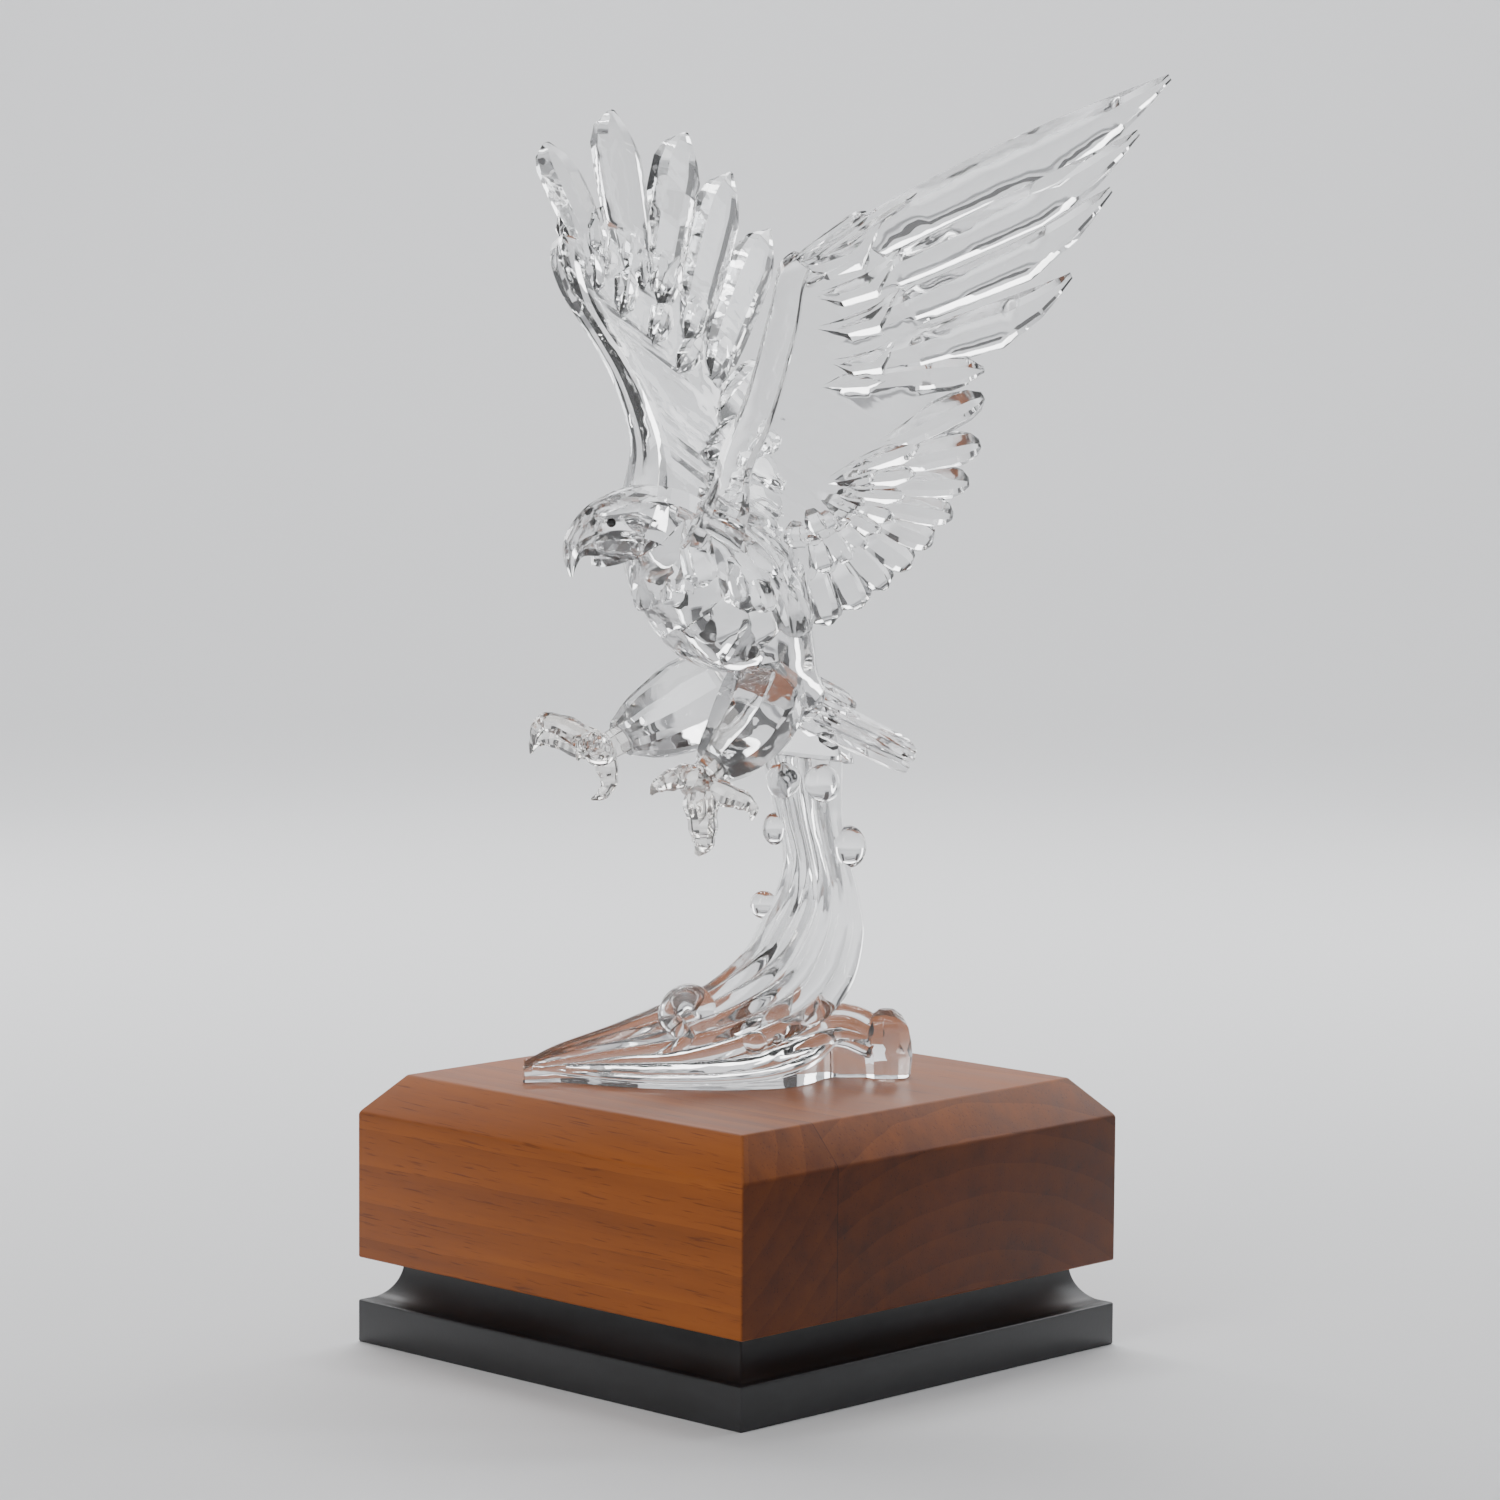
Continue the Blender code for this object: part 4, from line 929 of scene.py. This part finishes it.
WING_SPAN_AXIS = Vector((95.0, 56.2, 94.3)).normalized()
WING_CHORD_HINT = Vector((0.10, 0.90, -0.42))
LEFT_SHOULDER = Vector((13.0, -14.2, 138.2))
RIGHT_SHOULDER = Vector((-13.0, -20.0, 141.5))
# Where each bend starts along the wing, its radius and, at the root, the length of its arc
ROOT_BEND = (16.0, 42.0, 25.0)
TIP_BEND = (55.0, 520.0)
CHORD_RADIUS = 320.0
SHINGLE_TILT = radians(8.0)
WEB_STEPS = 36
WEB_THICKNESS = 3.2
ARM_STEPS = 42
# A feather's section has six points, with the flat share of its width
FEATHER_SIDES = 6
EAGLE_SHADING = 30.0


class Wing:
    """A bent plate with its own span and chord coordinates, counted from the shoulder in millimetres."""

    def __init__(self, side, shoulder):
        self.side = side
        self.shoulder = shoulder
        self.up = WING_SPAN_AXIS.cross(WING_CHORD_HINT).normalized()
        self.chord = self.up.cross(WING_SPAN_AXIS)

    def spine(self, a):
        """How far out and up the plate is at a distance along it, and its slope there."""
        start, radius, bend = ROOT_BEND
        if a < start:
            length = start - a
            slope = min(length, bend) / radius
            along = start - radius * sin(slope)
            up = -radius * (1.0 - cos(slope))
            straight = max(0.0, length - bend)
            return along - straight * cos(slope), up - straight * sin(slope), slope
        start, radius = TIP_BEND
        if a > start:
            slope = (a - start) / radius
            return start + radius * sin(slope), radius * (1.0 - cos(slope)), slope
        return a, 0.0, 0.0

    def point(self, a, b, height):
        along, up, slope = self.spine(a)
        height -= b * b / (2.0 * CHORD_RADIUS)
        along -= height * sin(slope)
        up += height * cos(slope)
        place = WING_SPAN_AXIS * along + self.up * up + self.chord * b
        place.x *= self.side
        return bird_place(self.shoulder + place)


# Outlines are (share of the length, share of the width, share of the thickness)
SPEAR = ((0, 0.45, 0.30), (0.16, 0.80, 0.80), (0.34, 0.92, 1), (0.62, 1, 1), (0.80, 0.97, 1),
         (0.90, 0.72, 0.92), (1, 0.10, 0.5))
SLANT = ((0, 0.60, 0.40), (0.16, 0.80, 0.9), (0.35, 0.92, 1), (0.66, 1, 1), (0.84, 0.66, 0.9),
         (0.94, 0.34, 0.75), (1, 0.10, 0.5))
PETAL = ((0, 0.14, 0.06), (0.26, 0.62, 0.42), (0.50, 0.90, 0.94), (0.72, 1, 1), (0.86, 0.94, 0.92),
         (0.95, 0.68, 0.75), (1, 0.24, 0.45))
SHARD = ((0, 0.10, 0.30), (0.30, 0.82, 0.95), (0.62, 1, 1), (1, 0.08, 0.5))
SQUARE = ((0, 0.80, 1), (0.5, 0.94, 1), (0.93, 1, 1), (1, 0.74, 0.6))


def quill(place, root, tip, width, thickness, outline, lift=0.0, tilt=0.0, bow=0.0, lean=0.0, steps=2):
    """A feather's line. With a lean of 1, root to tip is its leading edge, and with 0 its middle."""
    root = Vector(root)
    tip = Vector(tip)
    axis = (tip - root).normalized()
    across = Vector((-axis.y, axis.x))
    stations = []
    for start, end in zip(outline, outline[1:]):
        for i in range(steps):
            t = i / steps
            stations.append([a + (b - a) * t for a, b in zip(start, end)])
    stations.append(outline[-1])
    line = []
    for share, broad, thick in stations:
        half = width * broad / 2.0
        centre = root.lerp(tip, share) + across * (bow * 4.0 * share * (1.0 - share) + lean * half)
        edge = centre + across * (half * cos(tilt))
        middle = place(centre.x, centre.y, lift)
        wide = place(edge.x, edge.y, lift + half * sin(tilt)) - middle
        top = place(centre.x, centre.y, lift + thickness * thick / 2.0) - middle
        line.append((middle, wide, top))
    return line


# Primaries are (root, tip, width, bow, lean, length of the covert). The left wing's outer face is in view.
LEFT_PRIMARIES = (
    ((57, -32.4), (143.2, 5), 16.6, -4.2, 1, 24),
    ((53, -23), (129.4, 8.4), 13.8, -1, 1, 24),
    ((48, -15), (115.5, 13.4), 13.6, 0, 1, 21),
    ((43, -7), (94.7, 21), 13.6, 0, 1, 18),
    ((37, -2), (64, 23.5), 11.6, 0, 0, 17),
)
FAN_PIVOT = (13.0, 13.8)
LEFT_FAN = {"first": 17.4, "pitch": 14.2, "short": 33.4, "long": 47.9, "reach": 2.4}
# Web stations are (along, front edge, rear edge), and arm stations (along, across, half width, thickness)
LEFT_WEB = (
    (-15, 8, 24), (-4, -2, 33), (10, -5, 37), (24, -10, 37), (40, -19, 30),
    (52, -26, 20), (62, -28, 10), (72, -25, -5),
)
LEFT_ARM = (
    (-8, 5, 6, 12), (1, 3, 5.4, 9), (10, -2.6, 4.6, 7), (24.2, -8.4, 4.6, 6),
    (44.7, -20.2, 4.6, 5.6), (55, -27.2, 4.2, 5.4), (60, -28.6, 3, 4.8),
)
# (root, tip, width, thickness)
LEFT_ALULA = (
    ((57, -30), (77.5, -26), 4.4, 5.4), ((60, -27.5), (88, -20.5), 4.4, 4.6),
    ((54, -25), (70, -20), 4.6, 5),
)
RIGHT_PRIMARIES = (
    ((58, -14), (93.5, -33.5), 13.6, 1.5, 0, 20),
    ((62, -1.5), (118.3, -15.9), 15.4, 0.5, 0, 22),
    ((62, 3.5), (127.6, 7.3), 15, 0, 0, 24),
    ((56, 14), (126.9, 24.1), 14.2, 0, 0, 24),
    ((50, 22), (119, 39.6), 13.4, 0, 0, 22),
)
RIGHT_FAN = {"first": 25.5, "pitch": 13.6, "short": 33.6, "long": 66.5, "reach": 2.4}
RIGHT_WEB = (
    (-15, 8, 24), (-4, 0, 33), (10, 1, 37), (24, -4, 37), (36, -12, 34),
    (48, -21, 30), (60, -25, 27), (70, -24, 22), (79, -16, 10),
)
RIGHT_ARM = (
    (-8, 7, 6, 12), (3, 5.2, 5.2, 9), (14, 2.8, 4.4, 6.6), (26.4, -2.2, 4.2, 5.8),
    (36, -8.6, 4.2, 5.6), (47.5, -19.4, 4.2, 5.6), (57, -23.4, 4, 6), (64, -24, 3.4, 5.4),
)
# (root, tip) of the diamonds on its front, of which the first row is broader and thinner
RIGHT_COVERTS = (
    ((54, -18), (77, -26.5)), ((60, -16), (83, -16)), ((62, -6), (88, -4)),
    ((60, 4), (85, 10)), ((54, 12), (80, 20)), ((50, -16), (68, -18)),
    ((48, -8), (70, -6)), ((46, 2), (68, 7)), ((42, 10), (64, 19)),
)
FIRST_ROW = 5
# Number of secondaries, and the thickness of the primaries and of their coverts
LEFT_SIZES = (10, 3.4, 5.2)
RIGHT_SIZES = (9, 4.4, 5.4)


def fan_spot(angle, radius):
    turn = radians(angle)
    return (FAN_PIVOT[0] + radius * cos(turn), FAN_PIVOT[1] + radius * sin(turn))


def secondary_reach(k, first, pitch, short, long, reach):
    """The angle of a secondary about the fan's pivot, and how far out its tip lies."""
    angle = first + pitch * k
    if angle < 90.0:
        return angle, short + (long - short) * ((90.0 - angle) / (90.0 - first)) ** 2
    return angle, short + reach * ((angle - 90.0) / 50.0) ** 2


def web_plate(form, wing, stations):
    """The smooth plate that the feathers grow from."""
    rings = []
    half = WEB_THICKNESS / 2.0
    for along, front, rear in smooth_run(stations, WEB_STEPS):
        section = ((front + 1.5, half), (rear - 11.0, half), (rear, 0.0), (rear - 11.0, -half),
                   (front + 1.5, -half), (front, 0.0))
        rings.append([wing.point(along, across, height) for across, height in section])
    loft(form, rings)


def arm_bar(form, wing, stations):
    """The thick bar along the wing's front edge, with a flat face and a ridge behind it."""
    rings = []
    for along, across, half, thickness in smooth_run(stations, ARM_STEPS):
        rise = thickness / 2.0
        section = ((-half, -rise * 0.7), (-half, rise * 0.7), (-half * 0.4, rise), (half * 0.6, rise),
                   (half, 0.0), (half * 0.6, -rise), (-half * 0.4, -rise))
        rings.append([wing.point(along, across + offset, height) for offset, height in section])
    loft(form, rings)


def feather_wing(form, wing, primaries, fan, web, arm, count, thick, covert_thick):
    """A wing's plate and arm, its primaries with their coverts, and three rows of petals round the fan."""
    web_plate(form, wing, web)
    arm_bar(form, wing, arm)
    place = wing.point
    flights = []
    coverts = []
    petals = []

    def petal(angle, inner, outer, width, thickness, lift=0.0):
        ends = (fan_spot(angle, inner), fan_spot(angle, outer))
        petals.append(quill(place, *ends, width, thickness, PETAL, lift, SHINGLE_TILT))

    for index, (root, tip, width, bow, lean, covert) in enumerate(primaries):
        outline = SLANT if lean else SPEAR
        lift = 0.22 * (-1.0) ** index
        flights.append(quill(place, root, tip, width, thick, outline, lift, SHINGLE_TILT, bow, lean, 4))
        start = Vector(root)
        end = start + (Vector(tip) - start).normalized() * covert
        covert_width = width * 0.80
        coverts.append(quill(place, root, end, covert_width, covert_thick, SHARD, lift, SHINGLE_TILT, 0.0,
                             lean, 1))
    for k in range(count):
        angle, radius = secondary_reach(k, **fan)
        petal(angle, 7.0 + 3.5 * (k * 2 % 3), radius, 10.6, 4.8, 0.16 * (-1.0) ** k)
    for k in range(count - 1):
        angle, radius = secondary_reach(k + 0.5, **fan)
        petal(angle, 4.0 + 5.0 * (k % 2), radius * 0.66, 8.6, 5.6)
        petal(angle + 6.0, 3.0 + 3.0 * (k * 2 % 3), radius * 0.42, 7.0, 6.2)
    add_strands(form, flights, cast_clear, FEATHER_SIDES, 0.52)
    add_strands(form, coverts, cast_clear, FEATHER_SIDES, 0.42)
    add_strands(form, petals, cast_clear, FEATHER_SIDES, 0.46)


# Body. Stations are (belly y, belly z, back y, back z, half width)
BODY = (
    (-30.4, 123, -14, 137, 8.5), (-28, 116, -8, 136, 11), (-24, 110, -2, 133, 13.2),
    (-17.4, 101.4, 4, 128, 14.6), (-8.5, 96.4, 10, 121, 14.8), (1, 94.5, 14, 113, 13.4),
    (8, 89, 16, 105, 11), (13, 85, 17.6, 98, 8.6), (18, 84, 20.4, 93, 6.4),
)
BODY_STEPS = 40
BODY_SIDES = 32
HEAD_PIVOT = Vector((0.0, -18.0, 128.0))
HEAD_TURN = radians(12.0)
# (top forward, top z, bottom forward, bottom z, half width)
HEAD = (
    (-9, 134, 6, 117, 9.6), (-2, 138, 9, 121, 9.6), (5.5, 139.7, 12, 122.6, 9.2),
    (12, 138.8, 15.5, 122.9, 8.6), (17.8, 136.5, 18.6, 123.4, 6.8), (21.6, 134.2, 21.4, 123.6, 4.4),
    (24.8, 130.6, 23, 123.2, 3.4), (26.8, 126, 23.8, 121.9, 2.4), (26.4, 121.4, 24.4, 120.2, 1.3),
    (25.4, 118.8, 24.8, 118.7, 0.5),
)
HEAD_STEPS = 27
# (share of the half width, share of the height)
HEAD_SECTION = (
    (0.42, 1), (0.92, 0.80), (0.84, 0.56), (1, 0.30), (0.5, 0),
    (-0.5, 0), (-1, 0.30), (-0.84, 0.56), (-0.92, 0.80), (-0.42, 1),
)
# (forward, z, half width)
LOWER_JAW = ((9, 124.5, 5), (14, 122.7, 4.2), (18, 122, 2.6), (20, 122.4, 1.4))
JAW_STEPS = 12


def in_head(forward, side, z):
    axis = Vector((-sin(HEAD_TURN), -cos(HEAD_TURN), 0.0))
    across = Vector((cos(HEAD_TURN), -sin(HEAD_TURN), 0.0))
    spot = HEAD_PIVOT + axis * forward + across * side
    return bird_place((spot.x, spot.y, z))


def blunt_round(k, sides, across_power, along_power):
    """A point of a unit circle that is pushed out towards a square by powers below one."""
    angle = 2.0 * pi * k / sides
    across = copysign(abs(cos(angle)) ** across_power, cos(angle))
    along = copysign(abs(sin(angle)) ** along_power, sin(angle))
    return across, along


def body_core(form):
    """The breast and back: rounded above and below, with broad flat flanks."""
    rings = []
    for belly_y, belly_z, back_y, back_z, half_width in smooth_run(BODY, BODY_STEPS):
        centre = Vector(((belly_y + back_y) / 2.0, (belly_z + back_z) / 2.0))
        axis = Vector(((back_y - belly_y) / 2.0, (back_z - belly_z) / 2.0))
        ring = []
        for k in range(BODY_SIDES):
            across, along = blunt_round(k, BODY_SIDES, 0.72, 0.9)
            spot = centre + axis * along
            ring.append(bird_place((across * half_width, spot.x, spot.y)))
        rings.append(ring)
    loft(form, rings)


def head_core(form):
    """The head's cut facets: a flat crown, a brow ridge over the eye, the cheek and the hooked beak."""
    rings = []
    for top_f, top_z, low_f, low_z, half in smooth_run(HEAD, HEAD_STEPS):
        ring = []
        for side, height in HEAD_SECTION:
            forward = low_f + (top_f - low_f) * height
            ring.append(in_head(forward, side * max(half, 0.3), low_z + (top_z - low_z) * height))
        rings.append(ring)
    loft(form, rings)
    rings = []
    for forward, z, half in smooth_run(LOWER_JAW, JAW_STEPS):
        section = ((half, 0.9), (half * 0.5, -1.1), (-half * 0.5, -1.1), (-half, 0.9))
        rings.append([in_head(forward, side, z + height) for side, height in section])
    loft(form, rings)


def laid_place(root, axis, facing):
    """The coordinates of a flat feather that lies along an axis from its root and shows a side."""
    facing = (facing - axis * facing.dot(axis)).normalized()
    across = facing.cross(axis)

    def place(along, offset, height):
        return bird_place(root + axis * along + across * offset + facing * height)

    return place


def laid_feathers(blades, width, thickness, mirror=1.0):
    """Feathers laid on the body: each has root, tip and the direction that its flat side faces."""
    lines = []
    for blade in blades:
        root, tip, facing = (Vector((x * mirror, y, z)) for x, y, z in blade)
        place = laid_place(root, (tip - root).normalized(), facing)
        lines.append(quill(place, (0.0, 0.0), ((tip - root).length, 0.0), width, thickness, PETAL))
    return lines


SCAPULARS = (
    ((9, -20, 132), (13.6, -17.6, 117.6), (1, -0.35, 0.1)),
    ((10, -14, 131), (14.6, -9, 113), (1, -0.2, 0.1)),
    ((11, -8, 130), (15, -1.2, 110.8), (1, -0.1, 0.1)),
    ((11, -3, 126), (14.8, 4, 106.4), (1, 0, 0.1)),
    ((11, 2, 121), (13.8, 9.6, 105.2), (1, 0.15, 0.1)),
)
RUFF = (
    ((5, -24, 128), (6.2, -24.4, 113), (0.5, -1, -0.4)),
    ((7.4, -21, 129), (9.6, -22, 115), (0.8, -0.8, -0.2)),
    ((8.4, -17, 131), (11.8, -18.6, 116.4), (1, -0.5, 0)),
)
THROAT = (((0, -26, 126), (0, -26.4, 110.6), (0, -1, -0.5)),)
NAPE = (
    ((3.5, -14, 134), (6, 2, 131), (0.25, 0.3, 1)),
    ((-3.5, -14, 134), (-6, 2, 131), (-0.25, 0.3, 1)),
    ((0, -6, 134), (0, 10, 125.5), (0, 0.5, 1)),
    ((6, -4, 131), (8, 11, 120.5), (0.4, 0.5, 1)),
    ((-6, -4, 131), (-8, 11, 120.5), (-0.4, 0.5, 1)),
)
# Thighs and shoulder pads are (x, y, z, radius)
RIGHT_THIGH = (
    (-7, -1, 92, 10), (-11, -7, 87.5, 11.2), (-12, -14, 84.2, 9.6), (-12, -19.5, 82.4, 7.8),
    (-12, -23.4, 80.8, 5.6), (-12, -25.2, 79.9, 4.7),
)
LEFT_THIGH = (
    (5, 4, 92, 10), (10, -2, 86, 10.4), (12, -8, 80.4, 8.8), (12.5, -12, 77.4, 7),
    (13, -15, 75.2, 5.2),
)
SHOULDER_PAD = (
    (7.6, -19, 130.6, 6.6), (8.6, -14, 127.6, 6.8), (9.2, -7, 123.6, 6.4), (9.4, 0, 117, 5.4),
    (9, 5, 111, 4),
)
THIGH_STEPS = 10
THIGH_SIDES = 9
PAD_STEPS = 24
PAD_SIDES = 12
TAIL_ROOT = Vector((0.0, 16.0, 91.5))
TAIL_SLOPE = radians(-27.0)
TAIL_COUNT = 9
TAIL_SPREAD = radians(28.0)
TAIL_LENGTH = 33.0
TAIL_DROP = 8.0
TAIL_COVERTS = 5


def tail_place(turn, drop):
    straight = Vector((0.0, cos(TAIL_SLOPE), sin(TAIL_SLOPE)))
    forward = Vector((sin(turn), 0.0, 0.0)) + straight * cos(turn)
    facing = Vector((-sin(turn) * 0.5, -sin(TAIL_SLOPE), cos(TAIL_SLOPE)))
    return laid_place(TAIL_ROOT - Vector((0.0, 0.0, drop)), forward, facing)


def tail_fan(form):
    """The tail's feathers, fanned and drooping to the sides, under a row of short coverts."""
    feathers = []
    for k in range(TAIL_COUNT):
        share = 2.0 * k / (TAIL_COUNT - 1) - 1.0
        place = tail_place(TAIL_SPREAD * share, TAIL_DROP * share * share)
        length = TAIL_LENGTH * (1.0 - 0.14 * share * share)
        feathers.append(quill(place, (-4.0, 0.0), (length, 0.0), 5.6, 3.0, SQUARE, 0.0, SHINGLE_TILT))
    coverts = []
    for k in range(TAIL_COVERTS):
        share = 2.0 * k / (TAIL_COVERTS - 1) - 1.0
        place = tail_place(TAIL_SPREAD * 0.7 * share, TAIL_DROP * 0.5 * share * share)
        coverts.append(quill(place, (-6.0, 0.0), (15.0, 0.0), 6.0, 3.6, SPEAR, 2.6))
    add_strands(form, feathers, cast_clear, FEATHER_SIDES, 0.5)
    add_strands(form, coverts, cast_clear, FEATHER_SIDES, 0.4)


SEAT_HEIGHT = 74.2
SEAT_SLOPE = -0.12
# (height over the seat, share of its size)
SEAT_SHRINK = ((0, 1), (5, 0.92), (14, 0.6))
SEAT_SIDES = 24
SEAT_MIDDLE = (14.8, -16.0)
SEAT_HALF_SIZE = (9.8, 4.6)


def seat_block(form):
    """The foot of the casting, shaped like the top of the wave's column and bonded to it."""
    rings = []
    for up, shrink in SEAT_SHRINK:
        ring = []
        for k in range(SEAT_SIDES):
            across, along = blunt_round(k, SEAT_SIDES, 0.7, 0.7)
            x = SEAT_HALF_SIZE[0] * across * shrink
            y = SEAT_HALF_SIZE[1] * along * shrink
            z = SEAT_HEIGHT + JOINT_GAP + up + x * SEAT_SLOPE
            ring.append(wave_place((SEAT_MIDDLE[0] + x, SEAT_MIDDLE[1] + y, z)))
        rings.append(ring)
    loft(form, rings)


form = bmesh.new()
body_core(form)
head_core(form)
seat_block(form)
tail_fan(form)
thighs = [limb_line(bird_place, thigh, THIGH_STEPS) for thigh in (RIGHT_THIGH, LEFT_THIGH)]
add_strands(form, thighs, cast_clear, THIGH_SIDES)
pads = []
laid = laid_feathers(THROAT, 7.6, 4.0) + laid_feathers(NAPE, 8.4, 4.0)
for side in (1.0, -1.0):
    pad = [(x * side, y, z, radius) for x, y, z, radius in SHOULDER_PAD]
    pads.append(limb_line(bird_place, pad, PAD_STEPS))
    laid += laid_feathers(SCAPULARS, 9.0, 4.4, side)
    laid += laid_feathers(RUFF, 7.6, 4.0, side)
add_strands(form, pads, cast_clear, PAD_SIDES)
add_strands(form, laid, cast_clear, FEATHER_SIDES, 0.45)
left_wing = Wing(1.0, LEFT_SHOULDER)
right_wing = Wing(-1.0, RIGHT_SHOULDER)
feather_wing(form, left_wing, LEFT_PRIMARIES, LEFT_FAN, LEFT_WEB, LEFT_ARM, *LEFT_SIZES)
feather_wing(form, right_wing, RIGHT_PRIMARIES, RIGHT_FAN, RIGHT_WEB, RIGHT_ARM, *RIGHT_SIZES)
alula = [quill(left_wing.point, *blade, SPEAR) for blade in LEFT_ALULA]
add_strands(form, alula, cast_clear, FEATHER_SIDES, 0.4)
diamonds = []
for index, (root, tip) in enumerate(RIGHT_COVERTS):
    width, thickness = (10.4, 5.4) if index < FIRST_ROW else (10.0, 6.4)
    diamonds.append(quill(right_wing.point, root, tip, width, thickness, SHARD, steps=1))
add_strands(form, diamonds, cast_clear, FEATHER_SIDES, 0.3)
eagle = fuse_casting("landing_eagle", form, cast_clear, EAGLE_SHADING)
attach(eagle, "root")
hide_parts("eagle")


# Eyes
# Two black beads, each pressed into a shallow socket in the cheek under the brow. The CAD model's own
# beads are kept, in a gloss black that is very slightly uneven.

BEAD_TONES = ((0.0, (0.003, 0.003, 0.003)), (1.0, (0.008, 0.007, 0.007)))


def black_bead():
    material, shader, add, where = new_material("black bead", {"Coat Weight": 0.6, "Coat Roughness": 0.05})
    cloud = mottle(add, where["Object"], 1400.0)
    tone = tone_ramp(add, cloud, BEAD_TONES)
    fill(shader, {"Base Color": tone, "Roughness": between(add, cloud, 0.06, 0.16)})
    return material


bead = black_bead()
for node in ("left_eye", "right_eye"):
    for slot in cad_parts[node].material_slots:
        slot.material = bead
